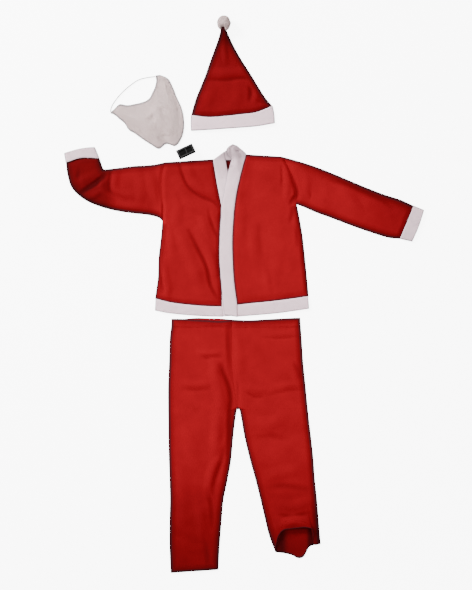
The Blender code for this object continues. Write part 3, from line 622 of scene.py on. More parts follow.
RIGHT_FRONT_CREASES = [
    (-2.6, 10, (-202, 404), (-190, 368), (-172, 331), (-136, 303), (-93, 284), (-76, 266)),
    (4.6, 24, (-178, 398), (-160, 352), (-128, 322), (-92, 306)),
    (3.6, 28, (-206, 345), (-180, 296), (-136, 262), (-98, 240)),
    (-2.4, 10, (-109, 262), (-104, 232), (-92, 196), (-80, 172)),
    (3.0, 24, (-132, 250), (-122, 200), (-108, 150)),
    (-3.2, 11, (-172, 196), (-144, 141), (-116, 82), (-104, 27), (-84, -12)),
    (4.0, 28, (-200, 190), (-176, 130), (-152, 76), (-134, 10)),
    (4.0, 22, (-140, 196), (-108, 130), (-88, 66)),
    (2.4, 18, (-250, 96), (-245, 60), (-236, 22), (-238, -6)),
    (-1.4, 10, (-262, 86), (-255, 42), (-250, 6)),
    (1.8, 24, (-214, 320), (-206, 268), (-212, 214)),
    (1.6, 20, (-238, 214), (-226, 160), (-222, 110))]
LEFT_FRONT_CREASES = [
    (1.8, 22, (22, 200), (28, 150), (36, 96)),
    (-0.9, 14, (46, 214), (50, 160), (58, 108)),
    (2.0, 22, (66, 72), (72, 38), (76, 4)),
    (1.6, 30, (104, 124), (96, 70), (92, 22)),
    (-3.4, 12, (144, 366), (158, 331), (161, 308), (150, 290), (145, 276)),
    (2.2, 16, (128, 386), (134, 340), (128, 292)),
    (-1.3, 7, (115, 398), (117, 366), (117, 334)),
    (-2.0, 12, (147, 272), (150, 248), (142, 222)),
    (-1.6, 10, (162, 202), (164, 176), (167, 148)),
    (1.6, 26, (30, 398), (66, 380), (96, 352)),
    (1.5, 34, (70, 330), (100, 290), (112, 236)),
    (1.4, 22, (-20, 300), (-8, 240), (-14, 160))]
print("underarms at", RIGHT_UNDERARM, "and", LEFT_UNDERARM)

# %% One flat panel
RED_WALL, WHITE_WALL = 1.2, 2.0     # millimetres: one layer of red cloth and one of plush
SEAM_GAP = 0.3                # air between two layers
HEM_CLIMB = (3.0, 24.0)       # heights over the hem seam between which a front comes down off the plush
NECK_CLIMB = (350.0, 390.0)   # heights in the drawing between which it climbs onto the neck band


def over_back(grid):
    """Height of the upper layer: one wall and a gap, more where it lies on the plush edges."""
    hem_x, hem_y = np.array(HEM_SEAM, float).T
    above_hem = grid[..., 1] - np.interp(grid[..., 0], hem_x, hem_y)
    on_trim = np.maximum(1.0 - rise(above_hem, *HEM_CLIMB), rise(grid[..., 1], *NECK_CLIMB))
    return RED_WALL + SEAM_GAP + (WHITE_WALL - RED_WALL) * on_trim


def with_height(grid, height):
    """Plan points and heights joined into points in space."""
    return np.concatenate([grid, np.broadcast_to(height, grid.shape[:-1])[..., None]], axis=-1)


def panel(name, lines, columns, low, material, thickness, dark, tone, start=None, end=None):
    """One flat piece: a grid between two sides, its middle half a wall over the height low(grid, share).

    dark gives the strengths of its four edges. start and end bend its first and its last edge.
    """
    share = np.broadcast_to(soft_shares(columns), (len(lines), columns + 1))
    grid = spread(lines, share, start, end)
    middle = with_height(grid, low(grid, share) + thickness / 2.0)
    shade = (tone(grid, share) if callable(tone) else tone) * edge_shadow(grid, share, dark, material)
    piece = wall(name, middle, thickness * tucked(*share.shape), material,
                 edge=edge_nearness(grid, share, dark), tone=shade)
    return piece, middle


# %% Heights and tones of the jacket
SEWN_EDGE = -0.4              # strength of an edge that is sewn to its neighbour: no dark line
FRONT_LOFT = 3.2              # millimetres that loose cloth stands up before its creases are added


def below_arm(lines, side, underarm, above=SEWN_EDGE):
    """1 down a front's side seam and the value above up its armhole."""
    return 1.0 - (1.0 - above) * rise(lines[:, side:side + 1], underarm - 15.0, underarm + 12.0)


def back_low(grid, share):
    """The back lies on the floor, with a few low wrinkles that lift it away from its edges."""
    y = grid[..., 1]
    lift = np.clip(rumple(grid, 11, 0.5), 0.0, 1.0) * rise(share * (1 - share), 0.0, 0.04)
    return lift * rise(y, -20.0, 30.0) * (1.0 - rise(y, 330.0, 380.0)) * 0.3


def front_relief(grid, share, creases, seed):
    """Creases and rumple, easing to nothing at the sewn sides and kept over the back."""
    along = np.linspace(0.0, 1.0, len(grid))[:, None]
    relief = FRONT_LOFT + crease_height(grid, creases) + rumple(grid, seed)
    return np.maximum(relief, 0.0) * inset(share, 0.07) * inset(along, 0.05)


def curl_down(share, height, underarm):
    """How far a side seam drops: a wall's thickness at share 0, but nothing above the underarm."""
    return RED_WALL * (1.0 - rise(share, 0.0, 0.02)) * (1.0 - rise(height, underarm - 20.0, underarm))


def right_front_low(grid, share):
    """Underside of the right front: over the back, with its creases, and down at the side seam."""
    relief = front_relief(grid, share, RIGHT_FRONT_CREASES, 21)
    return over_back(grid) + relief - curl_down(share, grid[..., 1], RIGHT_UNDERARM)


def left_front_low(grid, share):
    """As for the right one, but its inner side also lies on the right front's plush band."""
    on_band = (WHITE_WALL + SEAM_GAP) * (1.0 - rise(share, 0.05, 0.26))
    relief = front_relief(grid, share, LEFT_FRONT_CREASES, 31)
    return over_back(grid) + on_band + relief - curl_down(1.0 - share, grid[..., 1], LEFT_UNDERARM)


def right_front_tone(grid, share):
    """Painted shade: darker in the folds, and a little darker towards the shoulder."""
    return fold_shade(grid, RIGHT_FRONT_CREASES) * (1.0 - 0.15 * rise(grid[..., 1], 230.0, 380.0))


def left_front_tone(grid, share):
    """A little brighter than the right front, to make up for the lamp, which stands further away; painted
    shade darkens its folds and, a little, its shoulder.
    """
    return fold_shade(grid, LEFT_FRONT_CREASES) * (1.08 - 0.08 * rise(grid[..., 1], 200.0, 380.0))


# %% Back and fronts
INSIDE_TONE = 0.26            # the inside of the cloth is duller and lies in shadow
UNDER_BAND = 0.4              # millimetres that a front goes on under its plush band
PANEL_SPACING = 3.4           # millimetres between the lines of a front
right_lines = lines_of(slid(between(RIGHT_SIDE, RIGHT_EDGE), -1, 0.0, ROLL), PANEL_SPACING)
left_lines = lines_of(slid(between(LEFT_EDGE, LEFT_SIDE), -1, 0.0, ROLL), PANEL_SPACING)
back, back_middle = panel(
    "jacket_back_cloth", lines_of(between(RIGHT_SIDE, LEFT_SIDE), 5.0), 96, back_low, red_cloth, RED_WALL,
    dark=(1, 1, 0.3, 0.6), tone=INSIDE_TONE, start=HEM_SEAM, end=BACK_TOP)
right_roll = ROLL * below_arm(right_lines, 1, RIGHT_UNDERARM, 0.2)
left_roll = ROLL * below_arm(left_lines, 3, LEFT_UNDERARM, 0.2)
front_right, front_right_middle = panel(
    "jacket_front_right_cloth", grown(right_lines, right_roll, UNDER_BAND), 56, right_front_low,
    red_cloth, RED_WALL, dark=(below_arm(right_lines, 1, RIGHT_UNDERARM), 0.75, 0.75, 1),
    tone=right_front_tone, start=HEM_SEAM[:4])
front_left, front_left_middle = panel(
    "jacket_front_left_cloth", grown(left_lines, UNDER_BAND, left_roll), 60, left_front_low,
    red_cloth, RED_WALL, dark=(0.75, below_arm(left_lines, 3, LEFT_UNDERARM), 0.75, 1),
    tone=left_front_tone, start=HEM_SEAM[4:])
finish_sheet(back, "jacket_back")
finish_sheet(front_right, "jacket_front_right")
finish_sheet(front_left, "jacket_front_left")

# %% [markdown]
# ## Tubes pressed flat: sleeves, legs and the hat
#
# A sleeve or a leg is one piece of cloth folded over and closed by a seam. Pressed flat, it has a
# lower layer, an upper layer and a rounded bend at each side. The cross-section is worked out as a
# closed ring: each bend is a quarter of an ellipse up and a quarter down. Both layers take part in
# a crease, the upper one more than the lower one.

# %% A flattened tube
TUBE_SPACING = 3.6            # millimetres between the rings of a tube, unless it says otherwise
TUBE_EDGE = 0.4               # part of its thickness that the wall keeps at a tube's open ends
END_BEND = 0.3                # part of a tube's length within which the bend of its last edge fades


def flat_tube(name, table, material, thickness, creases, seed, ends, dark, tone,
              spacing=TUBE_SPACING, columns=34, gap=0.5, bend=3.2, roll=(ROLL, ROLL),
              start_low=None, dark_low=None, relief=3.0, sewn=True, crown=0.0, lift=0.0, extra=None):
    """A ring of points for each line across: upper layer from the first side to the second, lower back.

    The half height is that of a quarter ellipse within bend of each side and level between them.
    ends bends the first edge, and the last edge of the lower layer and of the upper one; start_low
    is the lower layer's first edge where it differs, and dark_low are its edge strengths. roll is
    how far each side stands out. A sewn tube's creases ease to nothing at its ends. crown, lift and
    extra add height. Returns the piece, the ring of middle points and its upper layer.
    """
    lines = grown(lines_of(table, spacing), *roll)
    size = np.linalg.norm(lines[:, 2:] - lines[:, :2], axis=1)[:, None]
    turn = np.radians([0.0, 25.0, 52.0, 90.0])
    wide = np.minimum(bend, 0.4 * size)
    near = wide * (1.0 - np.cos(turn)) / size
    inner = np.linspace(0.0, 1.0, columns - 5)[None, 1:-1]
    level = near[:, -1:] + inner * (1.0 - 2.0 * near[:, -1:])
    share = np.concatenate([near, level, 1.0 - near[:, ::-1]], axis=1)
    round_up = np.concatenate([np.sin(turn), np.ones(inner.size), np.sin(turn)[::-1]])
    start, last_low, last_up = ends
    upper = spread(lines, share, start, last_up, END_BEND)
    lower = spread(lines, share, start_low or start, last_low, END_BEND)
    inside = inset(share, 0.09)
    if sewn:
        inside = inside * inset(np.linspace(0.0, 1.0, len(lines))[:, None], 0.06)
    waves = np.maximum(relief + crease_height(upper, creases) + rumple(upper, seed), 0.0) * inside
    waves = waves + crown * (1.0 - (2.0 * share - 1.0) ** 4)
    top_extra = 0.0 if extra is None else extra(upper, share) * rise(share * (1.0 - share), 0.0, 0.03)
    half_height = (thickness + gap) / 2.0
    base = half_height + thickness / 2.0 + lift
    top = with_height(upper, base + half_height * round_up + waves + top_extra)
    under = with_height(lower, base - half_height * round_up + 0.3 * np.maximum(waves - relief, 0.0))
    middle = np.concatenate([top, under[:, -2:0:-1]], axis=1)
    part = np.ones(middle.shape[:2])
    part[[0, -1]] = TUBE_EDGE
    edge = np.concatenate([edge_nearness(upper, share, dark),
                           edge_nearness(lower, share, dark_low or dark)[:, -2:0:-1]], axis=1)
    shade = tone(middle)
    shade[:, :share.shape[1]] *= fold_shade(upper, creases) * edge_shadow(upper, share, dark, material)
    piece = wall(name, middle, thickness * part, material, ring=True, edge=edge, tone=shade)
    return piece, middle, top


# %% Sleeve tables
ARMHOLE_OVERLAP = 1.5         # millimetres that a sleeve's first line moves in over the front's edge
SLEEVE_GAP = 0.35             # millimetres of air between a sleeve's two layers
RIGHT_ARMHOLE = RIGHT_SIDE[:UNDERARM - 1:-1]
LEFT_ARMHOLE = LEFT_SIDE[:UNDERARM - 1:-1]
RIGHT_CUFF_SEAM = [(-452, 421.5), (-504, 424), (-551, 409.5)]
RIGHT_SLEEVE = [(-245, 406.5, -253, 226), (-276, 399.5, -267, 239.5), (-305, 396.5, -303, 248),
                (-342, 394.5, -342, 252), (-392, 388.5, -398.5, 260.5),
                (-428, 384.5, -454.5, 276), (-438, 386, -498.5, 297.5),
                (-443, 397, -532, 329.5), (-447, 408.5, -545.5, 368.5), (-452, 421.5, -551, 409.5)]
LEFT_SLEEVE = [(117, 424, 161, 281), (169.5, 409, 188, 270), (220.5, 392.5, 221, 255.5),
               (275, 371, 265, 239.5), (329.5, 348, 308.5, 223), (383.5, 325.5, 354.5, 206),
               (433, 306.5, 404.5, 189), (482.5, 290.5, 447.5, 176.5), (525.5, 270.8, 485, 173)]
RIGHT_SLEEVE_CREASES = [
    (-4.6, 14, (-508, 311), (-491, 322), (-466, 338), (-442, 356), (-431, 366)),
    (3.0, 16, (-488, 292), (-456, 310), (-424, 328)),
    (-1.8, 13, (-512, 386), (-514, 360), (-508, 332)),
    (2.6, 22, (-524, 340), (-490, 356), (-452, 372)),
    (-2.6, 11, (-412, 384), (-416, 344), (-412, 316), (-364, 290)),
    (4.0, 20, (-398, 376), (-402, 336), (-386, 312), (-344, 300)),
    (3.4, 18, (-440, 350), (-436, 318), (-410, 290)),
    (2.2, 22, (-300, 384), (-288, 340), (-272, 300)),
    (1.8, 26, (-330, 380), (-322, 330), (-330, 270)),
    (-1.2, 14, (-276, 376), (-266, 330), (-262, 280))]
LEFT_SLEEVE_CREASES = [
    (-3.4, 12, (144, 366), (158, 331), (161, 308), (150, 290)),
    (1.8, 20, (184, 380), (192, 340), (186, 296)),
    (-1.4, 8, (200, 316), (206, 306), (204, 296)),
    (1.2, 28, (244, 372), (252, 330), (248, 280)),
    (1.8, 24, (296, 330), (330, 296), (352, 256)),
    (-1.1, 14, (318, 320), (350, 290), (372, 250)),
    (1.8, 22, (410, 282), (440, 252), (462, 216)),
    (-2.0, 14, (248, 358), (290, 347), (332, 332), (386, 309), (428, 287), (458, 262))]


def right_sleeve_tone(middle):
    """Painted shade: a little darker beyond the armhole, and darker again past the elbow, where the sleeve is
    bent up and its far end turns away from the light.
    """
    outwards = -middle[..., 0]
    return 1.0 - 0.18 * rise(outwards, 256.0, 300.0) - 0.38 * rise(outwards, 390.0, 440.0)


def left_sleeve_tone(middle):
    """Painted shade: darker towards the cuff, and in a strip along the top, where the cloth rolls over away
    from the light.
    """
    x, y = middle[..., 0], middle[..., 1]
    top_x, top_y = np.array(LEFT_SLEEVE).T[:2]
    below = np.interp(x, top_x, top_y) - y
    strip = (1.0 - rise(below, 10.0, 36.0)) * rise(x, 130.0, 200.0)
    return (1.0 - 0.22 * rise(x, 330.0, 470.0)) * (1.0 - 0.24 * strip)


# %% Both sleeves
sleeve_right, sleeve_right_middle, _ = flat_tube(
    "sleeve_right_cloth", slid(RIGHT_SLEEVE, 0, ARMHOLE_OVERLAP), red_cloth, RED_WALL,
    RIGHT_SLEEVE_CREASES, 41, ends=(RIGHT_ARMHOLE, RIGHT_CUFF_SEAM, RIGHT_CUFF_SEAM),
    dark=(1.05, 1.1, SEWN_EDGE, 0.8), tone=right_sleeve_tone, gap=SLEEVE_GAP)
sleeve_left, sleeve_left_middle, _ = flat_tube(
    "sleeve_left_cloth", slid(LEFT_SLEEVE, 0, -ARMHOLE_OVERLAP), red_cloth, RED_WALL,
    LEFT_SLEEVE_CREASES, 51, ends=(LEFT_ARMHOLE, None, None),
    dark=(1.3, 1.05, SEWN_EDGE, 0.8), tone=left_sleeve_tone, gap=SLEEVE_GAP)
finish_sheet(sleeve_right, "sleeve_right")
finish_sheet(sleeve_left, "sleeve_left")

# %% [markdown]
# ## Plush trim
#
# The hems, the front edges, the neck, the cuffs and the hat's brim are strips of short-pile plush.
# A plain strip would look like card, so each has a soft crown, a lumpy surface and a pile. The
# pile is thousands of bent three-sided tufts that stand on the surface and lean with the nap.

# %% Pile
PLUSH_TUFT = (3.2, 0.42, 0.55)      # length and half thickness in millimetres, and lean, of a trim's tufts
PILE_DENSITY = 0.085                # tufts to the square millimetre: real plush has 10, too fine to draw
NAP_DOWN = np.array([0.3, -1.0, 0.0])     # the way that tufts lean where nothing combs them
TUFT_FOOT = 0.3                     # lowest height of a tuft, so that none goes through the floor


def pile(name, surface, count, length, width, lean, material, seed, comb=NAP_DOWN, keep=None,
         mottle=0.06, shade=1.0):
    """Tufts on a surface grid: three-sided spikes of two parts that leave along the normal and bend.

    A tuft's middle stands 0.6 of its length out with a third of the lean, and its tip has all of
    it. comb is the direction of the lean in plan, the same everywhere or one for each row. shade
    is the tone, one for all or one for each point of the surface, and mottle how much tufts differ.
    """
    rng = np.random.default_rng(seed)
    normal = normals_of(surface)
    normal = normal * (1.0 if normal[..., 2].mean() > 0 else -1.0)
    sides = np.cross(surface[1:, :-1] - surface[:-1, :-1], surface[:-1, 1:] - surface[:-1, :-1])
    area = np.linalg.norm(sides, axis=-1).ravel()
    cell = rng.choice(area.size, count, p=area / area.sum())
    row, column = np.unravel_index(cell, sides.shape[:2])
    u, v = rng.random((2, count, 1))

    def at(grid):
        """Value of a grid inside each chosen cell, weighted by the distance from its corners."""
        return ((grid[row, column] * (1 - u) + grid[row + 1, column] * u) * (1 - v)
                + (grid[row, column + 1] * (1 - u) + grid[row + 1, column + 1] * u) * v)

    root, up = at(surface), unit(at(normal))
    tilt = unit(at(np.broadcast_to(comb, surface.shape))) + rng.normal(0.0, 0.45, (count, 3))
    size = length * rng.uniform(0.6, 1.15, (count, 1))
    level = at(np.broadcast_to(shade, surface.shape[:2])[..., None])
    level = level * rng.uniform(1 - mottle, 1 + mottle / 2, (count, 1))
    thick = width * rng.uniform(0.7, 1.2, (count, 1))
    middle = root + up * size * 0.6 * (1 - 0.35 * lean) + tilt * size * lean * 0.33
    tip = root + up * size * (1.0 - 0.7 * lean) + tilt * size * lean
    for points in (middle, tip):
        points[:, 2] = np.maximum(points[:, 2], TUFT_FOOT)
    if keep is not None:
        stay = keep(tip)
        root, up, middle, tip, thick, level = (part[stay] for part in (root, up, middle, tip, thick, level))
    first = unit(np.cross(up, np.array([0.31, 0.87, 0.38])))
    second = np.cross(up, first)
    turn = 2.0 * math.pi * np.arange(3) / 3.0
    ring = first[:, None] * np.cos(turn)[:, None] + second[:, None] * np.sin(turn)[:, None]
    ring = ring * thick[:, None]
    foot = root - up * 0.4
    points = np.concatenate([foot[:, None] + ring, middle[:, None] + ring * 0.7, tip[:, None]], axis=1)
    base = 7 * np.arange(len(root))[:, None]
    one, two = np.arange(3), (np.arange(3) + 1) % 3
    lower = np.stack([one, two, two + 3, one, two + 3, one + 3], axis=-1).reshape(-1, 3)
    upper = np.stack([one + 3, two + 3, np.full(3, 6)], axis=-1)
    faces = (base[:, None] + np.concatenate([lower, upper])[None]).reshape(-1, 3)
    made = add_mesh(name, points.reshape(-1, 3), faces, material, {"tone": np.repeat(level, 7)})
    print(f"{name}: {len(root)} tufts, {len(faces)} triangles")
    return made


def lumps(grid, seed, depth=0.35):
    """Unevenness of pile: soft noise with cells of 9 and 4 mm."""
    x, y = grid[..., 0], grid[..., 1]
    return depth * (soft_noise(x, y, 9.0, seed) + 0.6 * soft_noise(x, y, 4.0, seed + 1))


print("one tuft stands for", round(10 / PILE_DENSITY), "of the real ones")

# %% [markdown]
# ## Hems, front bands and neck band
#
# Each is a table like the red panels. The front hems lie on the back's hem, and the left front
# band lies on the right one. Its top end is turned over in a curl behind the neck.

# %% Flat trims
RIGHT_HEM_TOP = [*HEM_SEAM[:3], (-68, -39)]
BACK_HEM = between(HEM_SEAM, [(-276, -49), (-224, -57), (-136, -66), (-68, -67), (-22, -67),
                              (101, -57), (199, -41)])
RIGHT_HEM = between(RIGHT_HEM_TOP, [(-277, -51), (-225, -60.5), (-136, -68), (-66, -70)])
LEFT_HEM = between(HEM_SEAM[4:], [(-22, -70), (101, -59.5), (200.5, -45.5)])
RIGHT_BAND = between([(-66, -69), *RIGHT_EDGE],
                     [(-27, -67), (-29, -39), (-33, 13), (-35, 59), (-38, 115), (-37, 168),
                      (-35, 221), (-33, 261), (-38, 303), (-46, 350), (-63, 441)])
LEFT_BAND = between([(-61, -64), (-66, -31), (-72, 38), (-77, 106), (-76, 174), (-72.5, 235.5),
                     (-71.5, 271), (-63, 316), (-55, 362), (-44, 402), (-40, 419), (-51, 430),
                     (-56, 444), (-50, 455), (-36, 464)],
                    [(-22, -71), *LEFT_EDGE, (4, 436), (-3, 443), (-14, 452), (-25, 460)])
NECK = [(-92, 416, -66, 437), (-70, 416, -53, 447), (-42, 415, -34, 461),
        (-17, 419, -14, 449), (3, 430, 4, 433)]
CURL_TROUGHS = [
    (-2.6, 6, (-52, 453), (-55, 443), (-52, 432), (-46, 423)),
    (-2.6, 6, (-26, 460), (-36, 459), (-43, 449), (-43, 436), (-40, 426), (-44, 410)),
    (-1.6, 6, (-14, 450), (-20, 442), (-28, 444))]
CURL = [
    (6.0, 18, (-34, 462), (-36, 448), (-30, 436), (-24, 416), (-24, 392)),
    *CURL_TROUGHS]

# %% One trim
PLUSH_SPACING = 2.6           # millimetres between the lines of a strip or tube of plush
ON_FLOOR = 0.0                # heights that a strip may rest at
ON_PLUSH = WHITE_WALL + SEAM_GAP


def plush_pile(name, surface, seed, shade):
    """The pile of one trim: as many tufts as its area asks for."""
    count = int(measured(surface)[2] / MM ** 2 * PILE_DENSITY)
    tufts = pile(name + "_pile", surface, count, *PLUSH_TUFT, white_plush, seed, shade=shade)
    return carried(tufts)


def curl_tone(grid, share):
    """Painted shade: darker in the troughs of the curl, and in two steps towards the neck, which tips
    backwards away from the light.
    """
    y = grid[..., 1]
    neck = (1.0 - 0.2 * rise(y, 340.0, 395.0)) * (1.0 - 0.34 * rise(y, 408.0, 430.0))
    return fold_shade(grid, CURL_TROUGHS) * neck


def trim(name, table, columns, base, seed, dark, relief=(), puff=1.2):
    """One strip of plush: the panel formula with a crown, lumps and a pile."""

    def low(grid, share):
        """Base height, a crown that is flat in the middle, lumps and any creases."""
        crown = puff * (1.0 - (2.0 * share - 1.0) ** 4) + lumps(grid, seed) + 0.35
        height = base(grid) if callable(base) else base
        return height + crown + np.maximum(crease_height(grid, relief), -0.6)

    piece, middle = panel(name + "_plush", lines_of(table, PLUSH_SPACING), columns, low, white_plush,
                          WHITE_WALL, dark, tone=curl_tone)
    tufts = plush_pile(name, middle + [0, 0, 0.9], seed + 5, curl_tone(middle[..., :2], None))
    finish_sheet(piece, name)


def over_right_band(grid):
    """Height of what lies on the right front's band."""
    return over_back(grid) + ON_PLUSH


# %% All the flat trims
trim("hem_band_back", BACK_HEM, 14, ON_FLOOR, 61, (0.3, 0.3, 0.5, 1), puff=0.0)
trim("hem_band_right", RIGHT_HEM, 14, ON_PLUSH, 62, (0, 1, 1, 0.2))
trim("hem_band_left", LEFT_HEM, 14, ON_PLUSH, 63, (-1, 1, 0.2, 1))
trim("neck_band", NECK, 14, ON_FLOOR, 64, (0.3, 1, 0.3, 0.3), puff=1.6)
trim("front_band_right", RIGHT_BAND, 16, over_back, 65, (0, 0.8, 1, 0.6))
trim("front_band_left", LEFT_BAND, 18, over_right_band, 66, (0.9, -1, 1, 1), CURL)

# %% [markdown]
# ## Cuffs
#
# A cuff is a short tube of plush around the end of a sleeve, a little wider than the sleeve. Its
# open end shows both layers.

# %% Cuffs
RIGHT_CUFF = [(-451.3, 419.5, -550.7, 407.5), (-459, 438, -553.5, 423), (-466, 455, -556, 437.5)]
RIGHT_CUFF_END = [(-466, 455), (-490, 453.3), (-516, 449), (-556, 437.5)]
LEFT_CUFF = [(523.5, 271.5, 483, 173.6), (540, 264.5, 503, 169), (556, 258, 521, 165)]
LEFT_CUFF_END = [(556, 258), (549, 235), (538, 203), (521, 165)]
CUFF_TONE = 0.84              # the cuffs turn away from the light


def plush_tube(name, table, seed, ends, columns=36, bend=5.0, gap=1.2, puff=1.4, shade=1.0):
    """A tube of plush pressed flat, with a soft crown on top and a pile; shade is its tone."""
    piece, middle, top = flat_tube(
        name + "_plush", table, white_plush, WHITE_WALL, (), seed, ends, (1, 1, 0, 1),
        lambda middle: np.full(middle.shape[:2], shade), PLUSH_SPACING, columns, gap, bend,
        relief=0.4, sewn=False, crown=puff)
    tufts = plush_pile(name, top + [0, 0, 0.8], seed + 5, shade)
    finish_sheet(piece, name)


plush_tube("cuff_right", RIGHT_CUFF, 71, (RIGHT_CUFF_SEAM, RIGHT_CUFF_END, RIGHT_CUFF_END), shade=CUFF_TONE)
plush_tube("cuff_left", LEFT_CUFF, 72, (None, LEFT_CUFF_END, LEFT_CUFF_END), shade=CUFF_TONE)

# %% [markdown]
# ## Trousers
#
# Each leg is one piece of cloth folded at the outside, and the two meet in the seam from the waist
# to the crotch. The waist is turned down over elastic, so its wall is double for 24 mm and it is
# slightly gathered. The deep folds run from the crotch down the right leg. The left hem's front is
# pushed up in an arch, so that the inside of the back shows there.

# %% Leg tables
CASING_SEAM = -101.0          # height in the drawing of the stitches under the waist's casing
CROTCH = -350.0
LEG_SPACING, LEG_COLUMNS = 4.4, 52
SEAM_COVER = 1.7              # millimetres that each leg reaches over the centre line above the crotch
RIGHT_WAIST = [(-223.5, -76.5), (-186.5, -77), (-149.5, -79), (-112.5, -81), (-75.5, -83), (-38.5, -79)]
RIGHT_WAIST_BACK = [(-223.5, -76.5), (-186.5, -77), (-149.5, -74), (-112.5, -75), (-75.5, -76), (-38.5, -79)]
LEFT_WAIST = [(170.5, -73), (118.2, -75.3), (66, -78.2), (13.8, -81), (-38.5, -79)]
CENTRE_SEAM = [(-38.5, -79), (-38.5, -103), (-38.5, -142), (-38.5, -210), (-31.5, -285), (-20, -350)]
RIGHT_LEG = between([(-223.5, -76.5), (-224.5, -100), (-229, -139.5), (-231, -210), (-234, -285),
                     (-234, -347), (-234, -356), (-233.5, -390), (-233, -452), (-231.5, -514),
                     (-229.5, -576), (-228, -638), (-229.5, -700), (-229.5, -781), (-226, -862)],
                    [*CENTRE_SEAM, (-25, -358), (-30, -386), (-36.5, -440.5), (-43.5, -514),
                     (-54.5, -576.5), (-67, -638.5), (-72.5, -700.5), (-79, -781), (-82.5, -852)])
LEFT_LEG = between([(170.5, -73), (172.5, -100), (175.5, -140), (180, -209.5), (187.5, -284.5),
                    (193.5, -346.5), (194.5, -356), (198, -389.5), (205.5, -451.5), (212, -513.5),
                    (216.5, -575.5), (223, -637.5), (228, -699.5), (231.5, -743.5), (234.5, -773)],
                   [*CENTRE_SEAM, (-13.5, -357), (-7.5, -384), (2, -439.5), (19.5, -513),
                    (37, -576), (52.5, -638.5), (67, -700.5), (79, -748.5), (98.5, -798)])
LEFT_HEM_BACK = [(234.5, -773), (217, -776), (200, -783), (184, -811), (167, -817), (149, -808),
                 (132, -803), (115, -800), (98.5, -798)]
LEFT_HEM_FRONT = [(234.5, -773), (213, -772), (212, -730), (190, -719), (165, -721), (142, -724),
                  (121, -729), (105, -752), (98.5, -798)]
RIGHT_LEG_CREASES = [
    (-2.0, 12, (-46, -92), (-50, -130), (-48, -180), (-44, -226)),
    (-4.0, 13, (-72, -222), (-65, -244), (-54, -270), (-46, -296), (-42, -326), (-44, -352), (-47, -396),
     (-47, -440), (-54, -494)),
    (5.0, 26, (-96, -206), (-88, -258), (-74, -316), (-72, -360)),
    (2.2, 12, (-28, -240), (-27, -280), (-26, -322)),
    (4.5, 26, (-82, -370), (-86, -430), (-90, -500)),
    (-2.4, 12, (-60, -470), (-72, -520), (-92, -580), (-96, -620)),
    (4.0, 22, (-82, -500), (-104, -560), (-112, -620)),
    (-1.8, 9, (-134, -193), (-110, -197), (-70, -194)),
    (2.5, 14, (-140, -182), (-104, -186), (-76, -182)),
    (-1.6, 12, (-188, -292), (-150, -296), (-106, -292)),
    (2.0, 18, (-190, -276), (-150, -280), (-104, -280)),
    (2.0, 30, (-176, -420), (-164, -480), (-150, -530)),
    (1.8, 30, (-198, -560), (-188, -630), (-190, -700)),
    (-1.8, 13, (-112, -610), (-102, -660), (-98, -720)),
    (2.6, 24, (-140, -650), (-132, -710), (-124, -770)),
    (-1.6, 14, (-126, -740), (-116, -790), (-110, -846)),
    (1.8, 22, (-200, -770), (-160, -790), (-120, -782))]
LEFT_LEG_CREASES = [
    (-1.1, 6, (58, -134), (112, -137), (168, -132)),
    (1.4, 14, (86, -121), (114, -124), (150, -119)),
    (-1.6, 9, (6, -304), (34, -318), (58, -318)),
    (1.8, 16, (8, -288), (36, -298), (66, -296)),
    (-1.2, 8, (76, -312), (100, -306), (144, -297), (192, -294)),
    (1.6, 16, (90, -290), (134, -282), (180, -278)),
    (-1.7, 6, (-20, -258), (-20, -284), (-20.5, -312), (-20.5, -344)),
    (-1.8, 12, (156, -214), (166, -238), (174, -266)),
    (1.6, 12, (150, -250), (158, -262), (170, -286)),
    (2.2, 24, (-24, -130), (-14, -190), (-12, -260)),
    (2.0, 28, (20, -400), (70, -404), (120, -384)),
    (-1.2, 16, (30, -446), (80, -440), (130, -450)),
    (2.0, 28, (80, -560), (130, -552), (176, -536)),
    (-1.5, 16, (84, -600), (130, -596), (196, -606)),
    (3.2, 24, (100, -652), (150, -656), (206, -640)),
    (-2.2, 12, (112, -684), (150, -690), (204, -676)),
    (7.0, 26, (116, -716), (160, -704), (210, -722)),
    (-2.0, 12, (214, -650), (222, -700), (226, -750)),
    (2.0, 18, (100, -700), (104, -740), (108, -770))]


print("the centre seam is", round(float(run_of(np.array(CENTRE_SEAM))[-1])), "mm long")

# %% Leg surfaces


def leg_tone(middle):
    """A little brighter at the top to make up for the lamp, and painted shade on the lower half of the legs,
    where the light falls off.
    """
    return 1.07 - 0.47 * rise(-middle[..., 1], 450.0, 830.0)


def casing_relief(grid, share):
    """Double cloth above the stitches, small gathers, and a groove, deepest where the seam pulls."""
    x, y = grid[..., 0], grid[..., 1]
    above = rise(y, CASING_SEAM - 6.0, CASING_SEAM + 4.0)
    pulled = 0.25 + 0.75 * rise(x, -142.0, -122.0) * (1.0 - rise(x, -64.0, -44.0))
    groove = np.exp(-((y - CASING_SEAM) / 2.2) ** 2) * pulled
    gathers = (0.55 + 0.45 * soft_noise(x, y * 0.2, 7.0, 83)) * rise(y, -140.0, CASING_SEAM)
    return 1.1 * above - 0.9 * groove + 0.7 * gathers


def mouth_relief(grid, share):
    """The arch of the left hem stands up where the front is pushed back."""
    near_hem = rise(-grid[..., 1], 650.0, 712.0)
    return casing_relief(grid, share) + 8.0 * near_hem * np.clip(np.sin(math.pi * share), 0.0, 1.0) ** 1.5


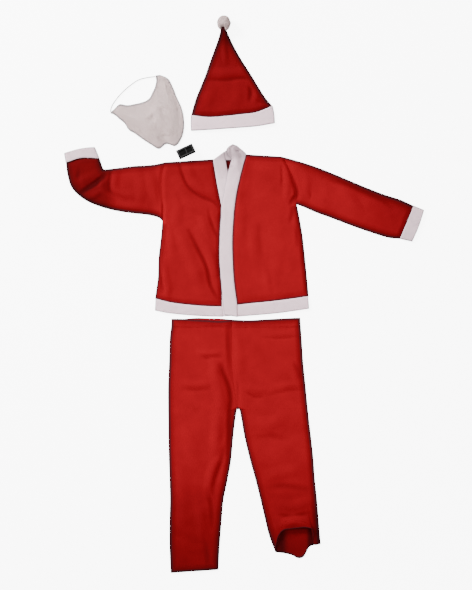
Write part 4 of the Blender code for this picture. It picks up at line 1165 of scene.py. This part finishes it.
def left_tone(middle):
    """As for the right leg, with painted shadow on the back's inside under the arch and beside its ends, and
    painted shade on the front's upper layer where it stands up steeply beside the arch.
    """
    x, y = middle[..., 0], middle[..., 1]
    low_layer = np.arange(middle.shape[1]) >= LEG_COLUMNS + 1
    in_light = rise(x, 116.0, 142.0) * (1.0 - rise(x, 190.0, 202.0)) * rise(-y, 722.0, 734.0)
    shadow = rise(-y, 690.0, 720.0) * (0.72 - 0.54 * in_light) * low_layer
    # painted shade on the upper layer where the front stands up steeply near its hem
    folded = rise(-y, 715.0, 735.0) * rise(x, 198.0, 206.0) * (0.7 - 0.4 * rise(x, 211.0, 215.0))
    return leg_tone(middle) * (1.0 - shadow - folded * (1 - low_layer))


def below_crotch(table, above=SEWN_EDGE):
    """1 along the inside of a leg below the crotch, and the value above up the centre seam."""
    height = lines_of(table, LEG_SPACING)[:, 3:4]
    return above + (1.0 - above) * rise(-height, -CROTCH - 6.0, -CROTCH + 3.0)


def seam_covered(table, amount):
    """The table with its seam side moved across by amount above the crotch, to meet the other leg's."""
    moved = np.array(table, float)
    moved[:, 2] += amount * rise(moved[:, 3], CROTCH - 1.0, CROTCH + 1.0)
    return moved


# %% Both legs
right_leg_table = seam_covered(slid(RIGHT_LEG, -1, 0.0, -ROLL), SEAM_COVER)
left_leg_table = seam_covered(slid(LEFT_LEG, -1, 0.0, -ROLL), -SEAM_COVER)
leg_right, leg_right_middle, leg_right_top = flat_tube(
    "trouser_leg_right_cloth", right_leg_table, red_cloth, RED_WALL,
    RIGHT_LEG_CREASES, 81, ends=(RIGHT_WAIST, None, None),
    dark=(1.15, below_crotch(right_leg_table), 0.9, 1), tone=leg_tone,
    spacing=LEG_SPACING, columns=LEG_COLUMNS, roll=(ROLL, ROLL * below_crotch(right_leg_table, 0.0)),
    start_low=RIGHT_WAIST_BACK, dark_low=(1.15, 1, 0.35, 1), relief=2.6, sewn=False, extra=casing_relief)
leg_left, leg_left_middle, leg_left_top = flat_tube(
    "trouser_leg_left_cloth", left_leg_table, red_cloth, RED_WALL,
    LEFT_LEG_CREASES, 91, ends=(LEFT_WAIST, LEFT_HEM_BACK, LEFT_HEM_FRONT),
    dark=(1.15, below_crotch(left_leg_table), 1, 0.45), tone=left_tone,
    spacing=LEG_SPACING, columns=LEG_COLUMNS, roll=(ROLL, ROLL * below_crotch(left_leg_table, 0.0)),
    dark_low=(1.15, 1, 1, 1.1), relief=2.6, sewn=False, extra=mouth_relief)

# %% [markdown]
# ## Stitches
#
# The casing and the leg hems are turned under and held by a line of machine stitches. Each stitch
# is a short grain of thread, thick in the middle, set end to end along a route on the cloth.

# %% One line of stitches
STITCH_PITCH, STITCH_LENGTH, STITCH_RADIUS = 3.4, 2.6, 0.32     # millimetres


def along_route(route, spacing):
    """Points and directions at equal distances along a smooth route in space."""
    fine = smooth(route, np.linspace(0.0, len(route) - 1.0, 40 * len(route)))
    run = run_of(fine)
    wanted = np.arange(spacing / 2.0, run[-1], spacing)
    points = np.stack([np.interp(wanted, run, fine[:, axis]) for axis in range(3)], axis=1)
    return points, unit(np.gradient(points, axis=0))


def on_surface(top, wanted):
    """Height of a grid's nearest point under each plan point."""
    flat = top.reshape(-1, 3)
    away = ((flat[None, :, :2] - wanted[:, None, :]) ** 2).sum(-1)
    return flat[away.argmin(axis=1), 2]


def stitches(name, route, top):
    """Grains of thread: four-sided rings at five places along each stitch, the end ones small.

    A stitch lies on the upper face of the cloth, and its ends sink into it.
    """
    plan = smooth(route, np.linspace(0.0, len(route) - 1.0, 8 * len(route)))
    height = on_surface(top, plan) + RED_WALL / 2.0
    points, heading = along_route(np.column_stack([plan, height]), STITCH_PITCH)
    side = np.cross(heading, [0.0, 0.0, 1.0])
    up = np.cross(side, heading)
    turn = 2.0 * math.pi * (np.arange(4) + 0.5) / 4.0
    places = np.array([-0.5, -0.3, 0.0, 0.3, 0.5])[:, None] * STITCH_LENGTH
    size = np.array([0.25, 0.8, 1.0, 0.8, 0.25]) * STITCH_RADIUS
    sink = np.array([-0.3, 0.05, 0.2, 0.05, -0.3])[:, None]
    ring = side[:, None, None] * np.cos(turn)[:, None] + up[:, None, None] * np.sin(turn)[:, None]
    centre = points[:, None] + heading[:, None] * places + up[:, None] * sink
    rings = centre[:, :, None] + ring * size[:, None, None]
    base = 20 * np.arange(len(rings))[:, None, None]
    step, one = np.meshgrid(4 * np.arange(4), np.arange(4), indexing="ij")
    two = (one + 1) % 4
    sides = np.stack([step + one, step + two, step + two + 4, step + one + 4], axis=-1).reshape(-1, 4)
    caps = np.array([[3, 2, 1, 0], [16, 17, 18, 19]])
    faces = (base + np.concatenate([sides, caps])[None]).reshape(-1, 4)
    made = add_mesh(name, rings.reshape(-1, 3), faces, thread, {"tone": np.ones(rings[..., 0].size)})
    print(f"{name}: {len(rings)} stitches")
    return carried(made)


# %% All the stitches
casing_right = stitches("casing_stitches_right", [(-221, -101), (-130, -103), (-41, -104)], leg_right_top)
casing_left = stitches("casing_stitches_left", [(-36, -104), (70, -102), (169, -101)], leg_left_top)
hem_right = stitches("hem_stitches_right", [(-223, -846), (-154, -841), (-85, -836)], leg_right_top)
hem_left = stitches("hem_stitches_left",
                    [(226, -752), (208, -716), (166, -699), (122, -706), (102, -776)], leg_left_top)
finish_sheet(leg_right, "trouser_leg_right")
finish_sheet(leg_left, "trouser_leg_left")

# %% [markdown]
# ## Hat
#
# The cone is one piece of cloth with a fold at its left side and a seam at its right one, so its
# layers lie flat. Its narrow tip is sewn to the pompom and lies over it, which lifts the last part
# off the floor. The brim is a wide plush tube.

# %% Cone and brim
TIP_RISE = 17.5               # millimetres that the pompom holds it off the floor
SEAM_DROP = 3.0               # millimetres that the seam of cone and brim is moved down from the drawn one
BRIM_SEAM = [(-163, 557.5), (-113.3, 551), (-63.6, 553.5), (-13.9, 559), (35.8, 565.5), (85.5, 585.5)]
BRIM_EDGE = [(-163, 506), (-112, 508.5), (-61, 512), (-10, 515.5), (41, 520), (92, 529)]
CONE = [(-68.5, 829, -63.5, 829), (-75, 800, -51, 800), (-92, 753, -27, 753), (-106, 714.5, -4, 714.5),
        (-119, 677, 19.5, 678), (-134, 640, 41.5, 641.5), (-149, 602.5, 64.5, 606),
        (-163, 556, 85.5, 584)]
BRIM = [(-163, 557.5, 85.5, 585.5), (-163.5, 532, 90, 557), (-163, 506, 92, 529)]
TIP_MIDDLE, TIP_TOP = (CONE[0][0] + CONE[0][2]) / 2.0, CONE[0][1]       # place of the cone's tip
CONE_CREASES = [
    (-2.2, 10, (-116, 664), (-60, 662), (-4, 668), (16, 664)),
    (3.2, 20, (-116, 686), (-60, 684), (8, 688)),
    (-2.6, 10, (16, 640), (20, 622), (16, 598)),
    (2.4, 14, (36, 632), (38, 612), (32, 592)),
    (1.8, 24, (-24, 650), (-22, 612), (-28, 580)),
    (2.6, 14, (-66, 800), (-62, 762), (-58, 720)),
    (1.6, 26, (-96, 640), (-110, 606), (-118, 580)),
    (-1.4, 9, (40, 600), (62, 592), (80, 588))]
cone_table = slid(CONE, -1, 0.0, -SEAM_DROP)
below_tip = TIP_TOP - lines_of(cone_table, TUBE_SPACING)[:, 1:2]
tip_lift = TIP_RISE * (1.0 - rise(below_tip, 0.0, 62.0))


def cone_tone(middle):
    """Painted shade: the hat lies where the light falls off, so it is darker all over, and its narrow tip is
    darker still.
    """
    return 0.66 - 0.24 * rise(middle[..., 1], 640.0, 810.0)


hat_cone, hat_cone_middle, _ = flat_tube(
    "hat_cone_cloth", cone_table, red_cloth, RED_WALL, CONE_CREASES, 101,
    ends=(None, BRIM_SEAM, BRIM_SEAM), dark=(1.35, 1.35, 0.6, 0.9), tone=cone_tone,
    columns=56, bend=4.5, relief=2.4, lift=tip_lift)
plush_tube("hat_brim", slid(BRIM, 0, 0.0, -SEAM_DROP), 73, (BRIM_SEAM, BRIM_EDGE, BRIM_EDGE),
           columns=76, bend=6.0, gap=1.6, puff=2.0)
finish_sheet(hat_cone, "hat_cone")

# %% [markdown]
# ## Pompom
#
# A pompom is a bundle of yarn tied in the middle and clipped round. Its yarns leave the centre in
# all directions, and the clipped ends make a soft ball. It is drawn as a lumpy ball with short
# strands that stand on it, spread at random over its area. The ball is hollowed where the red tip
# lies on it, and strands that would poke through the tip are left out.

# %% Pompom
BALL_ROWS, BALL_COLUMNS = 37, 73
POMPOM_CENTRE = np.array([-63.1, 836.5, 17.0])
POMPOM_RADIUS = 20.4
POMPOM_SHAPE = np.array([1.0, 1.15, 0.8])       # a little longer than wide, and flattened where it lies
STRANDS, YARN_TUFT = 2600, (4.0, 0.6, 0.4)      # as for the trims: length, half thickness and lean


def ball(radius, seed):
    """A lumpy ball: latitude by longitude, its radius varied by soft noise, and its poles closed."""
    up, around = np.meshgrid(np.linspace(0.0, math.pi, BALL_ROWS),
                             np.linspace(0.0, 2 * math.pi, BALL_COLUMNS), indexing="ij")
    bumps = 1.0 + 0.06 * soft_noise(around * 3.0 % 18.85, up * 4.0, 1.0, seed)
    bumps[:, -1] = bumps[:, 0]
    bumps[[0, -1]] = 1.0
    outwards = [np.sin(up) * np.cos(around), np.sin(up) * np.sin(around), np.cos(up)]
    return radius * bumps[..., None] * np.stack(outwards, axis=-1)


def clear_of_tip(tips):
    """Keep strands that end beside the red tip, a narrow wedge in plan, and not those above it."""
    below = TIP_TOP - tips[:, 1]
    over = (np.abs(tips[:, 0] - TIP_MIDDLE) < 3.6 + 0.3 * below) & (below > -2.5) & (tips[:, 2] > 12.0)
    return ~over


core = ball(POMPOM_RADIUS, 111) * POMPOM_SHAPE
under_tip = rise(-core[..., 1], 6.0, 14.0) * np.exp(-((core[..., 0] + 3.4) / 7.0) ** 2)
core[..., 2] -= np.maximum(core[..., 2], 0.0) * under_tip
core = core + POMPOM_CENTRE
number = np.arange(BALL_ROWS * BALL_COLUMNS).reshape(BALL_ROWS, BALL_COLUMNS)
core_faces = np.stack([number[:-1, :-1], number[1:, :-1], number[1:, 1:], number[:-1, 1:]], -1).reshape(-1, 4)
pompom = add_mesh("pompom_core", core.reshape(-1, 3), core_faces, beard_pile,
                  {"tone": np.full(number.size, 0.84)})
strands = pile("pompom_strands", core, STRANDS, *YARN_TUFT, beard_pile, 112, keep=clear_of_tip,
               mottle=0.3, shade=0.98)
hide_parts("hat_pompom")
carried(pompom)
carried(strands)

# %% [markdown]
# ## Beard
#
# The beard is cut from a soft, thick fleece with a short even pile, so its edge is smooth. A thin
# knitted backing lies on the floor. On it stands the pile, which is thickest in the middle and
# thin along the edges. It is drawn as a lens-shaped body with tufts that are combed away from the
# mouth.

# %% Beard tables
BEARD = [(-415, 563, -414, 560), (-402.5, 573.5, -403.5, 556.5), (-387, 588, -388, 543.5),
         (-367, 585.5, -370.5, 528.5), (-355, 586, -358, 509), (-342.5, 588.5, -337, 496),
         (-327.5, 591.5, -313, 478.5), (-313.5, 595.5, -287.5, 462), (-304.5, 599, -264, 450),
         (-297.5, 604, -241.5, 465), (-293, 608.5, -212.5, 459.5), (-289.5, 614.5, -193.5, 485.5),
         (-286.5, 621.5, -186.5, 519), (-282, 630.5, -189, 555), (-278, 639, -197.5, 584),
         (-275, 650, -210, 611), (-273, 661, -221, 639), (-274, 670, -236.5, 666.5),
         (-275, 677, -262, 679)]
BEARD_CREASES = [
    (-3.6, 16, (-292, 536), (-284, 544), (-276, 552)),
    (-2.6, 15, (-262, 574), (-254, 568), (-246, 566)),
    (1.8, 22, (-276, 590), (-268, 560), (-262, 530)),
    (1.6, 24, (-316, 560), (-300, 530), (-288, 496)),
    (-1.6, 10, (-214, 612), (-204, 570), (-204, 520)),
    (-1.4, 10, (-350, 530), (-330, 516), (-310, 490)),
    (-1.4, 12, (-380, 570), (-360, 560), (-330, 552)),
    (-1.8, 10, (-262, 486), (-248, 490), (-230, 486))]
BEARD_RUN = 330.0             # millimetres along the middle of the beard, from corner to corner
BACKING_WALL, BACKING_MIDDLE, PILE_FOOT = 1.2, 0.7, 1.0       # millimetres over the floor
EDGE_ROUND, EDGE_HEIGHT = 7.0, 3.0      # the pile rounds up to this height within this distance
LOFT_REACH, LOFT = 60.0, 6.0            # and then climbs slowly by this much more
BEARD_TUFTS, FLEECE_TUFT = 11000, (2.4, 0.4, 0.6)

# %% Backing and pile
beard_lines = lines_of(BEARD, 2.6)
beard_share = np.broadcast_to(soft_shares(54), (len(beard_lines), 55))
beard_plan = spread(beard_lines, beard_share)
beard_along = np.linspace(0.0, 1.0, len(beard_lines))[:, None]
beard_run = beard_lines[:, 2:] - beard_lines[:, :2]
from_side = np.minimum(beard_share, 1.0 - beard_share) * np.linalg.norm(beard_run, axis=1)[:, None]
from_edge = np.minimum(from_side, np.minimum(beard_along, 1.0 - beard_along) * BEARD_RUN)
edge_round = np.sqrt(1.0 - (1.0 - np.clip(from_edge / EDGE_ROUND, 0.0, 1.0)) ** 2)
loft = rise(from_edge, 0.0, LOFT_REACH)
backing_middle = with_height(beard_plan, BACKING_MIDDLE)
backing = wall("beard_backing", backing_middle, BACKING_WALL * tucked(*beard_share.shape), beard_pile,
               tone=0.85)
body_height = (0.4 + EDGE_HEIGHT * edge_round + LOFT * loft
               + crease_height(beard_plan, BEARD_CREASES) * (0.3 + 0.7 * loft)
               + edge_round * (rumple(beard_plan, 121, 0.5) + lumps(beard_plan, 122, 0.12)))
body_height = np.maximum(body_height, 0.3)
body = wall("beard_pile_body", with_height(beard_plan, PILE_FOOT + body_height / 2.0), body_height,
            beard_pile, edge=edge_nearness(beard_plan, beard_share, (1, 1, 1, 1)))
combed = with_height(unit(beard_run), 0.0)[:, None]
beard_top = with_height(beard_plan, PILE_FOOT + body_height - 0.2)
beard_tufts = pile("beard_tufts", beard_top, BEARD_TUFTS, *FLEECE_TUFT, beard_pile, 123, combed,
                   mottle=0.03)
carried(body)
carried(beard_tufts)
finish_sheet(backing, "beard")

# %% [markdown]
# ## Elastic
#
# A round elastic cord runs from one side of the beard to the other and goes round the head. It
# lies in one loose curve. It is limp and thin, and it starts and ends in the beard.

# %% Elastic cord
ELASTIC_DIAMETER = 2.4
ELASTIC_HEIGHT = 1.5          # its middle lies just over its radius above the floor
ELASTIC_POINTS = 60
ELASTIC_ROUTE = [(-275.8, 674), (-299, 671), (-327, 664), (-349, 650), (-374, 629), (-398, 602),
                 (-412, 579), (-415.2, 564.9)]


def even_route(points, count):
    """The same cubic as the rows', but with slopes and steps by distance along the route."""
    route = np.array(points, float)
    knots = run_of(route)
    slopes = np.gradient(route, knots, axis=0)
    wanted = np.linspace(0.0, knots[-1], count)
    span = np.clip(np.searchsorted(knots, wanted, side="right") - 1, 0, len(knots) - 2)
    width = (knots[span + 1] - knots[span])[:, None]
    t = (wanted - knots[span])[:, None] / width
    return cubic(t, route[span], route[span + 1], width * slopes[span], width * slopes[span + 1])


elastic_points = (with_height(even_route(ELASTIC_ROUTE, ELASTIC_POINTS), ELASTIC_HEIGHT) + SHIFT) * MM
elastic_curve = bpy.data.curves.new("beard_elastic_cord", "CURVE")
elastic_curve.dimensions = "3D"
elastic_curve.bevel_depth = ELASTIC_DIAMETER / 2 * MM
elastic_curve.bevel_resolution = 3
elastic_curve.use_fill_caps = True
spline = elastic_curve.splines.new("POLY")
with_weight = np.column_stack([elastic_points, np.ones(ELASTIC_POINTS)])
spline.points.add(len(elastic_points) - 1)
spline.points.foreach_set("co", with_weight.astype(np.float32).ravel())
elastic_curve.materials.append(elastic_cover)
elastic = bpy.data.objects.new("beard_elastic_cord", elastic_curve)
bpy.context.collection.objects.link(elastic)
carried(elastic)
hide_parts("beard_elastic")

# %% [markdown]
# ## Rolled belt
#
# The belt is a strip of thin embossed vinyl, rolled up flat. The roll is a spiral whose size
# shrinks evenly with the angle, squashed to an oval and carried along the belt's width. Its
# buckle is a plain moulded slide: a rounded frame with one bar, lying on top of the roll.

# %% Belt
BELT_CENTRE = np.array([-181.0, 441.2])
BELT_ANGLE = math.radians(24.6)
BELT_WIDTH, ROLL_ACROSS, ROLL_HEIGHT = 53.0, 31.2, 18.0
VINYL, TURNS = 0.3, 18.0      # thickness of the strip and the number of its turns
INNERMOST = 0.22              # size of the innermost turn as a part of the outermost
LOOSE_END = math.radians(118.0)     # where the outer end of the strip lies, round the roll
SLIP = 1.1                    # millimetres by which turns do not lie quite flush


def to_belt(along, across, height):
    """Turn lengths along and across the roll into drawing points."""
    x = BELT_CENTRE[0] + along * math.cos(BELT_ANGLE) - across * math.sin(BELT_ANGLE)
    y = BELT_CENTRE[1] + along * math.sin(BELT_ANGLE) + across * math.cos(BELT_ANGLE)
    return np.stack(np.broadcast_arrays(x, y, height), axis=-1)


roll_turn = np.linspace(0.0, TURNS * 2.0 * math.pi, int(TURNS * 40) + 1)
shrink = 1.0 - (1.0 - INNERMOST) * roll_turn / roll_turn[-1]
roll_angle = roll_turn + LOOSE_END
roll_across = (ROLL_ACROSS - VINYL) / 2.0 * shrink * np.cos(roll_angle)
roll_up = (ROLL_HEIGHT - VINYL) / 2.0 * shrink * np.sin(roll_angle)
roll_up = roll_up - roll_up.min() + VINYL / 2.0
slip = SLIP * soft_noise(roll_turn * 0.9, roll_turn * 0.0, 7.0, 131)
belt_share = np.array([0.0, 0.01, 0.25, 0.5, 0.75, 0.99, 1.0])
roll_along = (belt_share - 0.5) * (BELT_WIDTH + 1.0) + slip[:, None]
roll_middle = to_belt(roll_along, roll_across[:, None], roll_up[:, None])
belt = wall("belt_roll_vinyl", roll_middle, VINYL * tucked(*roll_middle.shape[:2]), belt_vinyl)
print("belt:", round(run_of(roll_middle[:, 3])[-1]), "mm long,", TURNS, "turns")
carried(belt)
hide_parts("belt_roll")

# %% Buckle
BUCKLE_HALF = (22.6, 10.1)    # half the length and half the width of the buckle's frame
SQUARENESS = 0.28             # exponent of its rounded rectangle: 1 is an ellipse, near 0 a sharp corner
BAR_HALF, BAR_BOW = 9.9, 1.6  # half the length of its bar and how far that is bowed
FRAME_SECTION, BAR_SECTION = (3.8, 3.0), (3.4, 2.4)     # width and height of the two mouldings
BAR_CLEARANCE = 0.2           # millimetres that the bar stands over the frame's foot


def moulded(name, path, section, closed):
    """Carry a section (across, up) along a plan path: each ring stands square to the path."""
    before, after = np.roll(path, 1, axis=0), np.roll(path, -1, axis=0)
    if not closed:
        before[0], after[-1] = path[0], path[-1]
    heading = unit(after - before)
    side = np.stack([heading[:, 1], -heading[:, 0]], axis=1)
    plan = path[:, None] + side[:, None] * section[None, :, :1]
    points = to_belt(plan[..., 0], plan[..., 1], section[:, 1])
    count, sides = points.shape[:2]
    number = np.arange(count * sides).reshape(count, sides)
    ahead = np.roll(number, -1, axis=0) if closed else number[1:]
    here = number if closed else number[:-1]
    faces = np.stack([here, np.roll(here, -1, axis=1), np.roll(ahead, -1, axis=1), ahead], -1).reshape(-1, 4)
    return carried(add_mesh(name, points.reshape(-1, 3), faces, buckle_plastic))


def rounded_section(width, height, base):
    """A rounded rectangle for a moulded bar: quarter circles joined by flats, its foot at base."""
    radius = min(width, height) * 0.32
    turn = np.linspace(0.0, math.pi / 2.0, 3)
    corners = [(1, 1), (-1, 1), (-1, -1), (1, -1)]
    quarters = [np.column_stack([w * (width / 2 - radius) + radius * np.cos(turn + start),
                                 h * (height / 2 - radius) + radius * np.sin(turn + start)])
                for (w, h), start in zip(corners, np.arange(4) * math.pi / 2.0)]
    return np.concatenate(quarters) + [0.0, base + height / 2.0]


def squared(wave):
    """A wave from -1 to 1 pressed towards its ends: its sign times its size to the SQUARENESS."""
    return np.sign(wave) * np.abs(wave) ** SQUARENESS


buckle_foot = float(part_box("belt_buckle")[0][2]) / MM
round_turn = np.linspace(0.0, 2.0 * math.pi, 64, endpoint=False)
outline = np.column_stack([squared(np.cos(round_turn)), squared(np.sin(round_turn))]) * BUCKLE_HALF
bar_path = np.column_stack([BAR_BOW * np.cos(np.linspace(-1.2, 1.2, 9)), np.linspace(-BAR_HALF, BAR_HALF, 9)])
buckle = moulded("belt_buckle_frame", outline, rounded_section(*FRAME_SECTION, buckle_foot), closed=True)
moulded("belt_buckle_bar", bar_path, rounded_section(*BAR_SECTION, buckle_foot + BAR_CLEARANCE),
        closed=False)
print("buckle:", np.ptp(outline, axis=0).round(1), "mm to the middle of its frame")
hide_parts("belt_buckle")
